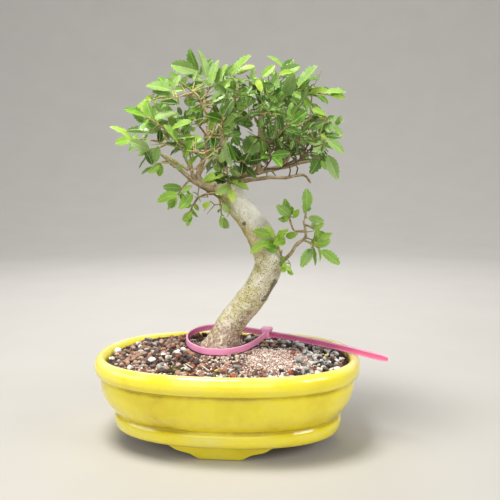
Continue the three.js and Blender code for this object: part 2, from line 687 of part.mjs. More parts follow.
addPiece('pot', pot(), glaze);
addPiece('drain_screen_left', drainScreen(), meshPlastic, screenPlaces[0]);
addPiece('drain_screen_right', drainScreen(), meshPlastic, screenPlaces[1]);
addPiece('soil', soil(woodWithGap, screenHoles), gravel);
addPiece('trunk', toGeometry(wood), bark);
addPiece('cable_tie', cableTie(), nylon);
shootRows.forEach((row, index) => {
  const name = `shoot_${String(index + 1).padStart(2, '0')}`;
  addPiece(name, toGeometry(shootSolid(row, index, woodWithGap)), leaf);
});

// The origin is on the table, under the middle of the whole part's outline.
const box = new THREE.Box3().setFromObject(bonsai, true);
bonsai.position.set(-(box.min.x + box.max.x) / 2, -(box.min.y + box.max.y) / 2, -box.min.z);

export default bonsai;
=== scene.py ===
import math
import random
from functools import partial

import bmesh
import bpy
import numpy as np
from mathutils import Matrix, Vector, noise


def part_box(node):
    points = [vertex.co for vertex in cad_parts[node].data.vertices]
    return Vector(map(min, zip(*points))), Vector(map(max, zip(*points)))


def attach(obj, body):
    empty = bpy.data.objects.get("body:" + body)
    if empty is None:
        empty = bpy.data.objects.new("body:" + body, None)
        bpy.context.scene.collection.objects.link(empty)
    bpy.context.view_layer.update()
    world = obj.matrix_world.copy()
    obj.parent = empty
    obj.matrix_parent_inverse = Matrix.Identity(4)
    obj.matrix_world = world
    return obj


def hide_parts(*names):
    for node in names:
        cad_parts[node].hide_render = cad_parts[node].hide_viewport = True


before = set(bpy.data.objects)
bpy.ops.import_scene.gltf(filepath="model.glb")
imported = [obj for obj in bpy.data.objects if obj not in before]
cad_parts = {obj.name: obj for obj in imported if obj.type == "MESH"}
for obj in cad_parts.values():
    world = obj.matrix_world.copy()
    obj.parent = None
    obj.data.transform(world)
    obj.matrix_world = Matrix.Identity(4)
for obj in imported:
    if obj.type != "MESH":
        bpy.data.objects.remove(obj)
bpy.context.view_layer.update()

# Sizes are in mm from the middle of the pot, on the table; the frame has its own origin and metres.
mm = 0.001
scene = bpy.context.scene
potLow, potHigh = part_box("pot")
potMiddle = np.array([(potLow.x + potHigh.x) / 2, (potLow.y + potHigh.y) / 2, 0.0])
print("frame loaded:", len(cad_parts), "nodes")

# Seed of the drift of the branches. Without one, noise_vector takes its offsets from the clock.
driftSeed = 1796032034
noise.seed_set(driftSeed)


def inFrame(points):
    return np.asarray(points, float) * mm + potMiddle


def linear(hexColour):
    channels = [int(hexColour[i:i + 2], 16) / 255 for i in (1, 3, 5)]
    return tuple(c / 12.92 if c <= 0.04045 else ((c + 0.055) / 1.055) ** 2.4 for c in channels) + (1.0,)


# Inputs of a node, by socket or in order: a value, an sRGB colour, a socket, a node or a list of them.
def feed(node, inputs):
    for key, given in inputs.items() if isinstance(inputs, dict) else enumerate(inputs):
        for value in given if isinstance(given, list) else [given]:
            if isinstance(value, bpy.types.Node):
                isAttribute = value.type == "ATTRIBUTE"
                value = value.outputs["Fac"] if isAttribute else next(s for s in value.outputs if s.enabled)
            if isinstance(value, bpy.types.NodeSocket):
                node.id_data.links.new(value, node.inputs[key])
            else:
                isColour = isinstance(value, str) and value.startswith("#")
                node.inputs[key].default_value = linear(value) if isColour else value


# Adds a node with its settings and links. A shader node's kind is given without its prefix.
def addNode(tree, kind, inputs=(), stops=(), **settings):
    node = tree.nodes.new(kind if "Node" in kind else "ShaderNode" + kind)
    for name, value in settings.items():
        setattr(node, name, value)
    feed(node, inputs)
    elements = node.color_ramp.elements if stops else ()
    while len(elements) < len(stops):
        elements.new(1.0)
    for element, (place, colour) in zip(elements, stops):
        element.position = place
        element.color = linear(colour)
    return node


def newMaterial(name):
    material = bpy.data.materials.new(name)
    material.use_nodes = True
    add = partial(addNode, material.node_tree)
    return material, add, material.node_tree.nodes["Principled BSDF"], add("TexCoord").outputs["Object"]


def inScene(name, data):
    made = bpy.data.objects.new(name, data)
    scene.collection.objects.link(made)
    return made


def setAttribute(mesh, label, values):
    values = np.asarray(values, np.float32)
    isVector = values.ndim == 2
    layer = mesh.attributes.new(label, "FLOAT_VECTOR" if isVector else "FLOAT", "POINT")
    layer.data.foreach_set("vector" if isVector else "value", values.ravel())


def turnOutwards(mesh):
    form = bmesh.new()
    form.from_mesh(mesh)
    bmesh.ops.recalc_face_normals(form, faces=form.faces)
    form.to_mesh(mesh)
    form.free()


def meshObject(name, points, faces, smooth=True, attributes=None, edges=()):
    mesh = bpy.data.meshes.new(name)
    mesh.from_pydata([tuple(point) for point in inFrame(points)], edges, [tuple(face) for face in faces])
    for label, values in (attributes or {}).items():
        setAttribute(mesh, label, values)
    mesh.polygons.foreach_set("use_smooth", [smooth] * len(mesh.polygons))
    mesh.validate()
    return inScene(name, mesh)


def finishPiece(piece, slot, *nodes, materials=()):
    for material in materials:
        piece.data.materials.append(material)
    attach(piece, "root")
    if nodes:
        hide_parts(*nodes)
    print("  piece", piece.name, len(piece.data.polygons), "faces")


# A plain mesh from a piece with live modifiers or node trees.
def settled(piece):
    graph = bpy.context.evaluated_depsgraph_get()
    mesh = bpy.data.meshes.new_from_object(piece.evaluated_get(graph), depsgraph=graph)
    label, old = piece.name, piece.data
    bpy.data.objects.remove(piece)
    bpy.data.meshes.remove(old)
    mesh.name = label
    return inScene(label, mesh)


# Point at share t of a smooth centripetal curve through rows; columns past the third ride along.
def curvePoint(rows, t):
    last = len(rows) - 1
    place = last * t
    index = min(math.floor(place), last - 1)
    weight = place - index
    before = rows[index - 1] if index > 0 else 2 * rows[0] - rows[1]
    after = rows[index + 2] if index + 2 <= last else 2 * rows[last] - rows[last - 1]
    quad = (before, rows[index], rows[index + 1], after)
    gaps = [float(np.sum((b[:3] - a[:3]) ** 2)) ** 0.25 for a, b in zip(quad, quad[1:])]
    gaps[1] = gaps[1] if gaps[1] >= 1e-4 else 1.0
    gaps[0] = gaps[0] if gaps[0] >= 1e-4 else gaps[1]
    gaps[2] = gaps[2] if gaps[2] >= 1e-4 else gaps[1]
    a, b, c, d = quad
    start = (b - a) / gaps[0] - (c - a) / (gaps[0] + gaps[1]) + (c - b) / gaps[1]
    end = (c - b) / gaps[1] - (d - b) / (gaps[1] + gaps[2]) + (d - c) / gaps[2]
    start, end = start * gaps[1], end * gaps[1]
    return (b + start * weight + (-3 * b + 3 * c - 2 * start - end) * weight ** 2
        + (2 * b - 2 * c + start + end) * weight ** 3)


def smoothRows(rows, perSpan):
    rows = np.array(rows, float)
    steps = (len(rows) - 1) * perSpan
    return np.array([curvePoint(rows, i / steps) for i in range(steps + 1)])


def smoothStep(value, low, high):
    share = min(max((value - low) / (high - low), 0.0), 1.0)
    return share * share * (3 - 2 * share)


# Faces between closed rings of equal length.
def ringFaces(ringCount, around):
    return [(a + i, a + (i + 1) % around, a + around + (i + 1) % around, a + around + i)
        for a in range(0, (ringCount - 1) * around, around) for i in range(around)]


# The same with a middle point at each end.
def loftFaces(ringCount, around):
    faces = ringFaces(ringCount, around)
    first, top = ringCount * around, (ringCount - 1) * around
    for i in range(around):
        j = (i + 1) % around
        faces += [(first, j, i), (first + 1, top + i, top + j)]
    return faces


# Camera: the photograph's own place and lens.
viewpoint = {
    "lens": 46.8,
    "place": (60.2, -483.4, 193.3),
    "towards": (-0.0885, 0.9911, -0.0993),
    "sensor": 36,
    "picture": 500,
}

cameraData = bpy.data.cameras.new("photo_view")
cameraData.lens = viewpoint["lens"]
cameraData.sensor_width = viewpoint["sensor"]
cameraData.clip_start = 0.01
camera = inScene("photo_view", cameraData)
camera.location = inFrame(viewpoint["place"])
camera.rotation_euler = Vector(viewpoint["towards"]).to_track_quat("-Z", "Y").to_euler()
scene.camera = camera

# Studio: a pale floor that bends up far behind the object, a wide top light and two soft fills.
studio = {"flat": 1400, "bend": 1700, "stations": 72, "colour": "#BDBAB5", "room": 0.3}
lamps = [
    # name, place in mm, size in mm, watts, colour
    ("top_softbox", (-160, -260, 900), 300, 8.8, "#FFFCF4"),
    ("front_softbox", (-60, -1300, 480), 1200, 5.0, "#FFFFFF"),
    ("right_softbox", (760, -420, 520), 420, 3.5, "#FFFFFF"),
    ("left_softbox", (-800, -300, 380), 600, 2.5, "#F8FAFF"),
    ("wall_softbox", (0, 300, 1500), 900, 40.0, "#FFFFFF"),
    ("back_softbox", (-250, 850, 700), 500, 1.6, "#FFFFFF"),
]


def paleFloorMaterial():
    # Matt seamless paper, which shows a soft shadow and no gloss.
    material, add, shader, where = newMaterial("matt_seamless_paper")
    grain = add("TexNoise", {"Vector": where, "Scale": 9.0, "Detail": 3.0})
    tone = add("ValToRGB", {"Fac": grain}, stops=[(0.3, "#BAB7B2"), (0.7, studio["colour"])])
    feed(shader, {"Base Color": tone, "Roughness": 0.9, "Specular IOR Level": 0.2})
    return material


def buildStudio():
    rings = [(0.5 * studio["flat"], 0.0), (studio["flat"], 0.0)]
    for step in range(1, 13):
        turn = math.radians(90 * step / 12)
        rings.append((studio["flat"] + studio["bend"] * math.sin(turn),
            studio["bend"] * (1 - math.cos(turn))))
    count = studio["stations"]
    points = [(r * math.cos(2 * math.pi * i / count), r * math.sin(2 * math.pi * i / count), z)
        for r, z in rings for i in range(count)]
    points.append((0, 0, 0))
    faces = [face for face in loftFaces(len(rings), count) if max(face) <= len(rings) * count]
    floor = meshObject("studio_floor", points, [face[::-1] for face in faces])
    floor.data.materials.append(paleFloorMaterial())
    world = bpy.data.worlds.new("studio_room")
    world.use_nodes = True
    back = world.node_tree.nodes["Background"]
    feed(back, {"Color": "#F2F3F4", "Strength": studio["room"]})
    scene.world = world
    for name, place, size, watts, colour in lamps:
        data = bpy.data.lights.new(name, "AREA")
        data.shape = "RECTANGLE"
        data.size = size * mm
        data.size_y = 0.7 * size * mm
        data.energy = watts
        data.color = linear(colour)[:3]
        lamp = inScene(name, data)
        lamp.location = inFrame(place)
        target = (0, 2600, 900) if name == "wall_softbox" else (0, 0, 140)
        aim = Vector(inFrame(target)) - lamp.location
        lamp.rotation_euler = aim.to_track_quat("-Z", "Y").to_euler()


buildStudio()
scene.view_settings.view_transform = "Standard"
print("studio and camera made")

# Pot: an oval between an ellipse and a rectangle, on three cloud-shaped feet.
potSizes = {
    "squareness": 2.35,
    "stations": 420,
    "footAngles": (-90, 27, 153),
    # The edge of a foot: distance from its middle along the ring, and height.
    "footEdge": [(0, 0), (10.6, 0), (12, 0.5), (16.4, 3.6), (18.2, 4.5), (21, 5.0), (26, 6.2), (28.6, 7.4),
                 (31, 9.3), (32.6, 10.1), (35, 10.5)],
    "footBottom": (80, 45.5),
    "footTop": (81.8, 49.4, 10.7),
    "footWall": 8,
    "underside": 12,
    # Half length, half width, height and how deep the glaze pools: band, belly, lip and inside.
    "skin": [
        (81.8, 49.6, 10.7, 0.7), (82.2, 50.6, 11.2, 0.3), (83.6, 53.4, 11.9, -0.4), (85.3, 56.6, 14, -0.3),
        (86.2, 58.4, 17, -0.2), (86.4, 58.8, 20.4, -0.4), (85.9, 58.3, 22.4, 0.1), (85, 57.4, 23.8, 0.9),
        (84.9, 57.4, 24.8, 1), (85.8, 58.6, 26, 0.6), (88.4, 61.4, 29, 0.3), (92.2, 65, 34.6, 0.1),
        (94.6, 67.2, 40, 0), (95.7, 68.3, 46, 0), (95.8, 68.5, 50, 0.1), (95.4, 68.2, 51.8, 0.7),
        (95.5, 68.3, 52.7, 1), (96.7, 69.7, 53.3, 0.7), (98.6, 71.8, 54.8, -0.1), (99.8, 73, 57.4, -0.3),
        (100, 73.2, 60.2, -0.2), (99.6, 72.8, 63, -0.4), (98.2, 71.4, 65.6, -0.8), (96.2, 69.4, 66.9, -1),
        (94.2, 67.4, 66.8, -1), (92.6, 65.8, 65.4, -0.6), (91.3, 64.5, 63, 0), (90.4, 63.6, 59, 0.1),
        (88, 61, 48, 0), (83, 56, 33, 0), (78, 51, 23, 0), (73, 46, 19, 0),
    ],
    "perSpan": 3,
    "drainRadius": 6,
    "drainOffset": 38,
    # Mud on the inner wall: from how far right, and from which height up to which.
    "mudFrom": (56, 80),
    "mudTop": (63.6, 66.2),
}


def planPoint(halfLength, halfWidth, angle):
    power = 2 / potSizes["squareness"]
    c, s = math.cos(angle), math.sin(angle)
    return (halfLength * math.copysign(abs(c) ** power, c), halfWidth * math.copysign(abs(s) ** power, s))


def footHeight(angle):
    length, width = potSizes["footBottom"]
    distances, heights = zip(*potSizes["footEdge"])
    lowest = heights[-1]
    for centre in map(math.radians, potSizes["footAngles"]):
        turn = abs(math.atan2(math.sin(angle - centre), math.cos(angle - centre)))
        reach = math.hypot(length * math.sin(centre), width * math.cos(centre))
        lowest = min(lowest, float(np.interp(turn * reach, distances, heights)))
    return lowest


def glazeMaterial():
    # Yellow lead-free glaze on stoneware: glassy, thin and pale on the edges, pooled in the grooves.
    material, add, shader, where = newMaterial("yellow_glazed_stoneware")
    pooling = add("Attribute", attribute_name="pooling")
    drift = add("TexNoise", {"Vector": where, "Scale": 1 / (34 * mm), "Detail": 3.0})
    fine = add("TexNoise", {"Vector": where, "Scale": 1 / (5 * mm), "Detail": 4.0})
    shift = add("Math", [drift, 0.9], operation="MULTIPLY")
    ripple = add("Math", [fine, 0.25, shift], operation="MULTIPLY_ADD")
    depth = add("Math", [pooling, 0.4, ripple], operation="MULTIPLY_ADD")
    ramp = add("ValToRGB", {"Fac": depth}, stops=[(0.0, "#EFE59A"), (0.3, "#ECDE5A"), (0.52, "#F0E034"),
        (0.78, "#E2CE1E"), (1.0, "#BAA40E")])
    # Iron specks that burn through: a few dark points about half a millimetre wide.
    cells = add("TexVoronoi", {"Vector": where, "Scale": 1 / (9 * mm)})
    rare = add("SeparateColor", {"Color": cells.outputs["Color"]})
    size = add("Math", [rare, 0.2, -0.16], operation="MULTIPLY_ADD")
    speck = add("Math", [cells.outputs["Distance"], size], operation="LESS_THAN")
    clean = add("Mix", {0: speck, 6: ramp, 7: "#4A3A12"}, data_type="RGBA")
    # Dried mud on the wall over the soil, thicker in places.
    soiled = add("Attribute", attribute_name="soiled")
    caked = add("Math", [soiled, fine], operation="MULTIPLY")
    muddy = add("MapRange", {"Value": caked, "From Min": 0.16, "From Max": 0.42, "To Max": 0.9})
    colour = add("Mix", {0: muddy, 6: clean, 7: "#945A2C"}, data_type="RGBA")
    wear = add("MapRange", {"Value": fine, "To Min": 0.08, "To Max": 0.2})
    # Orange peel of a dipped glaze, about 3 mm across.
    peel = add("TexNoise", {"Vector": where, "Scale": 1 / (3.2 * mm), "Detail": 2.0})
    bump = add("Bump", {"Height": peel, "Strength": 0.05, "Distance": 0.4 * mm})
    feed(shader, {"Base Color": colour, "Roughness": wear, "Normal": bump, "IOR": 1.52, "Coat Weight": 0.35,
        "Coat Roughness": 0.05})
    return material


def bareClayMaterial():
    # Unglazed fired clay of the underside and the foot faces: matt, buff and sandy.
    material, add, shader, where = newMaterial("bare_fired_clay")
    sand = add("TexNoise", {"Vector": where, "Scale": 1 / (1.4 * mm), "Detail": 6.0})
    tone = add("ValToRGB", {"Fac": sand}, stops=[(0.25, "#9C8466"), (0.55, "#C3AB88"), (0.8, "#D6C3A2")])
    bump = add("Bump", {"Height": sand, "Strength": 0.35, "Distance": 0.5 * mm})
    feed(shader, {"Base Color": tone, "Normal": bump, "Roughness": 0.85})
    return material


# Row of the pot's skin at the top of its lip.
def lipTop():
    heights = [row[2] for row in potSizes["skin"]]
    return heights.index(max(heights))


def buildPot():
    count = potSizes["stations"]
    angles = [2 * math.pi * i / count for i in range(count)]
    edge = [footHeight(angle) for angle in angles]
    length, width = potSizes["footBottom"]
    topLength, topWidth, topHeight = potSizes["footTop"]
    wall = potSizes["footWall"]
    rings, pooling, bare = [], [], []

    def level(halfLength, halfWidth, z, pool, isBare=False):
        rings.append([(*planPoint(halfLength, halfWidth, angle), z) for angle in angles])
        pooling.append(pool)
        bare.append(isBare)

    def footLevel(outward, rise, pool, isBare=False):
        # A ring of the foot: its height runs from the foot's own edge up to the band.
        ring = []
        for angle, low in zip(angles, edge):
            z = low + (topHeight - low) * rise
            share = z / topHeight
            ring.append((*planPoint(length + (topLength - length) * share - outward,
                width + (topWidth - width) * share - outward, angle), z))
        rings.append(ring)
        pooling.append(pool)
        bare.append(isBare)

    for share in (0.3, 0.65, 1):
        level((length - wall - 2) * share, (width - wall - 2) * share, potSizes["underside"], 0, True)
    footLevel(wall + 0.4, 0.3, 0, True)
    footLevel(wall, 0.04, 0, True)
    footLevel(wall - 0.8, 0.0, 0, True)
    footLevel(1.3, 0.0, 0, True)
    footLevel(0.35, 0.02, -0.5)
    for rise in (0.08, 0.2, 0.35, 0.5, 0.65, 0.8):
        footLevel(0, rise, 0.3 * rise - 0.1)
    footLevel(0.1, 0.9, 0.4)
    for halfLength, halfWidth, z, pool in smoothRows(potSizes["skin"], potSizes["perSpan"]):
        level(halfLength, halfWidth, z, pool)
    for share in (0.66, 0.33):
        level(73 * share, 46 * share, 19, 0)
    points = [point for ring in rings for point in ring]
    points += [(0, 0, potSizes["underside"]), (0, 0, 19)]
    faces = loftFaces(len(rings), count)
    spread = [value for value in pooling for _ in angles] + [0, 0]
    skinStart = len(rings) - 2 - (len(potSizes["skin"]) - 1) * potSizes["perSpan"] - 1
    innerFrom = (skinStart + lipTop() * potSizes["perSpan"]) * count
    soiled = [smoothStep(x, *potSizes["mudFrom"]) * (1 - smoothStep(z, *potSizes["mudTop"])) if i > innerFrom
        else 0 for i, (x, y, z) in enumerate(points)]
    pot = meshObject("glazed_pot", points, faces, attributes={"pooling": spread, "soiled": soiled})
    for material in (glazeMaterial(), bareClayMaterial()):
        pot.data.materials.append(material)
    bareRings = sum(bare)
    for polygon in pot.data.polygons:
        if polygon.index < (bareRings - 1) * count or len(rings) * count in polygon.vertices:
            polygon.material_index = 1
    drill = bpy.data.meshes.new("drain_drill")
    cut = bmesh.new()
    for side in (-1, 1):
        made = bmesh.ops.create_cone(cut, cap_ends=True, segments=40, radius1=potSizes["drainRadius"] * mm,
            radius2=potSizes["drainRadius"] * mm, depth=20 * mm)
        place = inFrame((side * potSizes["drainOffset"], 0, potSizes["underside"] + 4))
        bmesh.ops.translate(cut, verts=made["verts"], vec=Vector(place))
    cut.to_mesh(drill)
    cut.free()
    drillObject = inScene("drain_drill", drill)
    carve = pot.modifiers.new("drain_holes", "BOOLEAN")
    carve.object = drillObject
    carve.solver = "EXACT"
    pot = settled(pot)
    bpy.data.objects.remove(drillObject)
    finishPiece(pot, "glaze", "pot")


buildPot()
print("pot made")

# Trunk: its line from the buried foot to the cut top, as x, y, z and radius.
trunkSizes = {
    "line": [
        (-11, 5, 46, 8.5), (-9, 5, 58, 12.5), (-6, 5, 68.5, 13), (-1.4, 5, 82, 10.8), (8.4, 4, 95.8, 10.2),
        (15.8, 3, 105.8, 10.2), (22.8, 2, 115.8, 10.4), (28.4, 1, 124.6, 10.7), (30.4, 0, 132.6, 10.5),
        (30, 0, 141, 10.2), (28, 0, 148.6, 10.4), (24.4, 1, 156.8, 10.2), (18.8, 2, 164.8, 9.9),
        (12.8, 3, 172.8, 9.6), (6.4, 4, 180.8, 9.2), (0.2, 5, 189.4, 8.7), (-4.4, 6, 196.8, 7.8),
        (-6.2, 6.4, 200.2, 5.4),
    ],
    "sides": 108,
    "perSpan": 20,
    # Lumps of the bark: centre, reach and height, below zero for a hollow.
    "lumps": [
        ((-10, -8, 71), 5.5, 2.0), ((3, -8, 71), 4.5, 1.6), ((-18, 0, 70), 6, 1.8), ((7, 6, 74), 7, 1.0),
        ((-6, 17, 70), 7, 1.4), ((1, -6, 92), 4, -0.6), ((14, -8, 100), 3.4, 0.8), ((6, 0, 104), 3, 0.9),
        ((-2, 2, 90), 3.2, 0.7), ((38, -4, 124), 4.5, -0.9), ((36, 0, 117), 4, -0.7), ((24, -8, 112), 3, 0.5),
        ((40, -2, 134), 4.2, 1.3), ((33, -4, 158), 4.6, 1.0), ((10, -4, 168), 3, -0.5),
        ((6, -5, 172), 3.2, 0.7), ((20, -8, 150), 3.4, 0.5), ((21, -6, 128), 4, -0.5),
        ((-6, -2, 190), 4.4, 1.2), ((-10, 3, 192), 4.5, 1.3), ((4, -3, 193), 4, 1.1), ((7, 6, 192), 4.5, 1.0),
        ((9, 11, 178), 4, 0.7),
    ],
    # Where the bark is stained brown: centre and reach.
    "stains": [
        ((37, -5, 119), 6), ((33, -4, 111), 4), ((13, -7, 165), 2.2), ((36, 3, 150), 3),
        ((29, -5, 107), 3.4), ((26, -4, 101), 3), ((13, 4, 80), 4),
    ],
    # Rosy brown patches, and round scars of cut roots with their radius.
    "blushes": [((12, -6, 91), 5), ((3, -8, 80), 4), ((18, -6, 98), 3)],
    "scars": [((-7.4, -8, 73.6), 4.2), ((4, -8, 75), 3.5)],
    # Where the pores stand in dense rows.
    "poreSpots": [
        ((21, -7, 130), 6), ((19, -8, 137), 6), ((24, -8, 120), 7), ((33, -6, 131), 6),
        ((14, -8, 106), 8), ((6, -8, 96), 6), ((36, -4, 117), 5), ((31, -5, 104), 4),
        ((17, -8, 122), 7), ((22, -7, 111), 7), ((13, -7, 163), 4), ((5, -6, 90), 6),
        ((25, -8, 140), 4), ((34, -6, 137), 4), ((8, -7, 84), 5),
    ],
    # Direction of the painted light on the bark.
    "lightFrom": (0.58, -0.25, 0.78),
}


def barkShape(angle, z):
    low = 1 - smoothStep(z, 66, 84)
    lobes = 0.1 * low * math.cos(4 * angle + 0.6)
    return 1 + lobes + 0.025 * math.sin(3 * angle + z * 0.21) + 0.02 * math.sin(2 * angle - z * 0.13)


# Frames along a path, their side direction carried along without twist.
def carriedFrames(points):
    across, frames = None, []
    for index in range(len(points)):
        along = points[min(index + 1, len(points) - 1)] - points[max(index - 1, 0)]
        along = along / np.linalg.norm(along)
        guide = np.array((0.31, -0.95, 0.05)) if across is None else across
        across = guide - along * guide.dot(along)
        across = across / np.linalg.norm(across)
        frames.append((along, across, np.cross(along, across)))
    return frames


def barkMaterial():
    # Smooth elm bark, thin and dry, with dark pores; painted light makes it paler and chalky on the side to
    # the light and greener on the side away from it.
    material, add, shader, where = newMaterial("smooth_elm_bark")
    # Painted light: the bark is paler where its surface faces lightFrom, and darker and greener where it
    # faces away.
    facing = add("NewGeometry")
    light = add("VectorMath", [facing.outputs["Normal"], trunkSizes["lightFrom"]], operation="DOT_PRODUCT")
    low = add("Attribute", attribute_name="nearSoil")
    stain = add("Attribute", attribute_name="stain")
    broad = add("TexNoise", {"Vector": where, "Scale": 1 / (11 * mm), "Detail": 4.0})
    fine = add("TexNoise", {"Vector": where, "Scale": 1 / (1.3 * mm), "Detail": 6.0, "Roughness": 0.75})
    lit = add("Math", [light.outputs["Value"], 0.2, -0.13], operation="MULTIPLY_ADD")
    mixed = add("Math", [broad, 0.62, lit], operation="MULTIPLY_ADD")
    toned = add("Math", [fine, 0.8, mixed], operation="MULTIPLY_ADD")
    base = add("ValToRGB", {"Fac": toned}, stops=[(0.3, "#86773A"), (0.42, "#A89B58"), (0.52, "#C0B780"),
        (0.63, "#D5CFB4"), (0.82, "#F0EDE4")])
    # Branches are browner and rougher than the trunk.
    onBranch = add("Attribute", attribute_name="isLine")
    brown = add("ValToRGB", {"Fac": toned}, stops=[(0.3, "#38261A"), (0.45, "#6A4F34"), (0.6, "#9F835A"),
        (0.8, "#D0BC92")])
    wood = add("Math", [onBranch, 0.8], operation="MULTIPLY")
    base = add("Mix", {0: wood, 6: base, 7: brown}, data_type="RGBA")
    pink = add("Math", [low, broad], operation="MULTIPLY")
    rosy = add("MapRange", {"Value": pink, "From Min": 0.2, "From Max": 0.56, "To Max": 0.68})
    blush = add("Mix", {0: rosy, 6: base, 7: "#A4806C"}, data_type="RGBA")
    # Near the soil the bark flakes: brown flecks a millimetre or two wide between chalky crust.
    flake = add("TexNoise", {"Vector": where, "Scale": 1 / (2.0 * mm), "Detail": 4.0, "Roughness": 0.7})
    thinned = add("Math", [low, 0.16, flake], operation="MULTIPLY_ADD")
    peeled = add("MapRange", {"Value": thinned, "From Min": 0.62, "From Max": 0.7, "To Max": 0.62})
    blush = add("Mix", {0: peeled, 6: blush, 7: "#74573F"}, data_type="RGBA")
    crust = add("MapRange", {"Value": flake, "From Min": 0.47, "From Max": 0.39, "To Max": 0.75})
    crusted = add("Math", [crust, low], operation="MULTIPLY")
    blush = add("Mix", {0: crusted, 6: blush, 7: "#DDD3C4"}, data_type="RGBA")
    scaled = add("Math", [stain, flake], operation="MULTIPLY")
    flaked = add("MapRange", {"Value": scaled, "From Min": 0.3, "From Max": 0.48, "To Max": 0.85})
    patch = add("Mix", {0: flaked, 6: blush, 7: "#54402A"}, data_type="RGBA")
    # Pores: dark dots under half a millimetre wide, about 1.15 mm apart, drawn a little large to show.
    ragged = add("VectorMath", [fine.outputs["Color"], (1.1 * mm,) * 3, where], operation="MULTIPLY_ADD")
    cells = add("TexVoronoi", {"Vector": ragged, "Scale": 1 / (1.15 * mm)})
    some = add("SeparateColor", {"Color": cells.outputs["Color"]})
    dense = add("Attribute", attribute_name="pored")
    least = add("Math", [dense, 0.22, -0.145], operation="MULTIPLY_ADD")
    size = add("Math", [some, 0.34, least], operation="MULTIPLY_ADD")
    pore = add("Math", [cells.outputs["Distance"], size], operation="LESS_THAN")
    dot = add("Math", [pore, onBranch], operation="SUBTRACT", use_clamp=True)
    colour = add("Mix", {0: dot, 6: patch, 7: "#3A2E1E"}, data_type="RGBA")
    grain = add("Math", [dot, -0.8, fine], operation="MULTIPLY_ADD")
    bump = add("Bump", {"Height": grain, "Strength": 0.45, "Distance": 0.5 * mm})
    rough = add("MapRange", {"Value": broad, "To Min": 0.62, "To Max": 0.88})
    feed(shader, {"Base Color": colour, "Normal": bump, "Roughness": rough})
    return material


def trunkSkin():
    rows = np.array(trunkSizes["line"], float)
    perSpan, sides = trunkSizes["perSpan"], trunkSizes["sides"]
    steps = (len(rows) - 1) * perSpan
    centres = [curvePoint(rows[:, :3], i / steps) for i in range(steps + 1)]
    radii = np.interp(np.arange(steps + 1) / perSpan, range(len(rows)), rows[:, 3])
    frames = carriedFrames(centres)
    points = []
    for point, (along, across, upward), radius in zip(centres, frames, radii):
        for i in range(sides):
            angle = 2 * math.pi * i / sides
            outward = across * math.cos(angle) + upward * math.sin(angle)
            place = point + outward * radius * barkShape(angle, point[2])
            swell = sum(height * math.exp(-float(np.sum((place - centre) ** 2)) / reach ** 2)
                for centre, reach, height in trunkSizes["lumps"])
            swell += 0.55 * noise.noise(Vector(place / 9)) + 0.28 * noise.noise(Vector(place / 3.1))
            swell += 0.1 * noise.noise(Vector(place / 1.2))
            points.append(place + outward * swell)
    # The top was pruned: a small hollow inside a callus.
    rim, along = points[-sides:], frames[-1][0]
    for share, sink in ((0.9, 0.8), (0.62, 0.3), (0.3, -0.3)):
        points += [centres[-1] + (point - centres[-1]) * share + along * sink for point in rim]
    points += [centres[0], centres[-1] - along * 0.4]
    return points, loftFaces(steps + 4, sides)


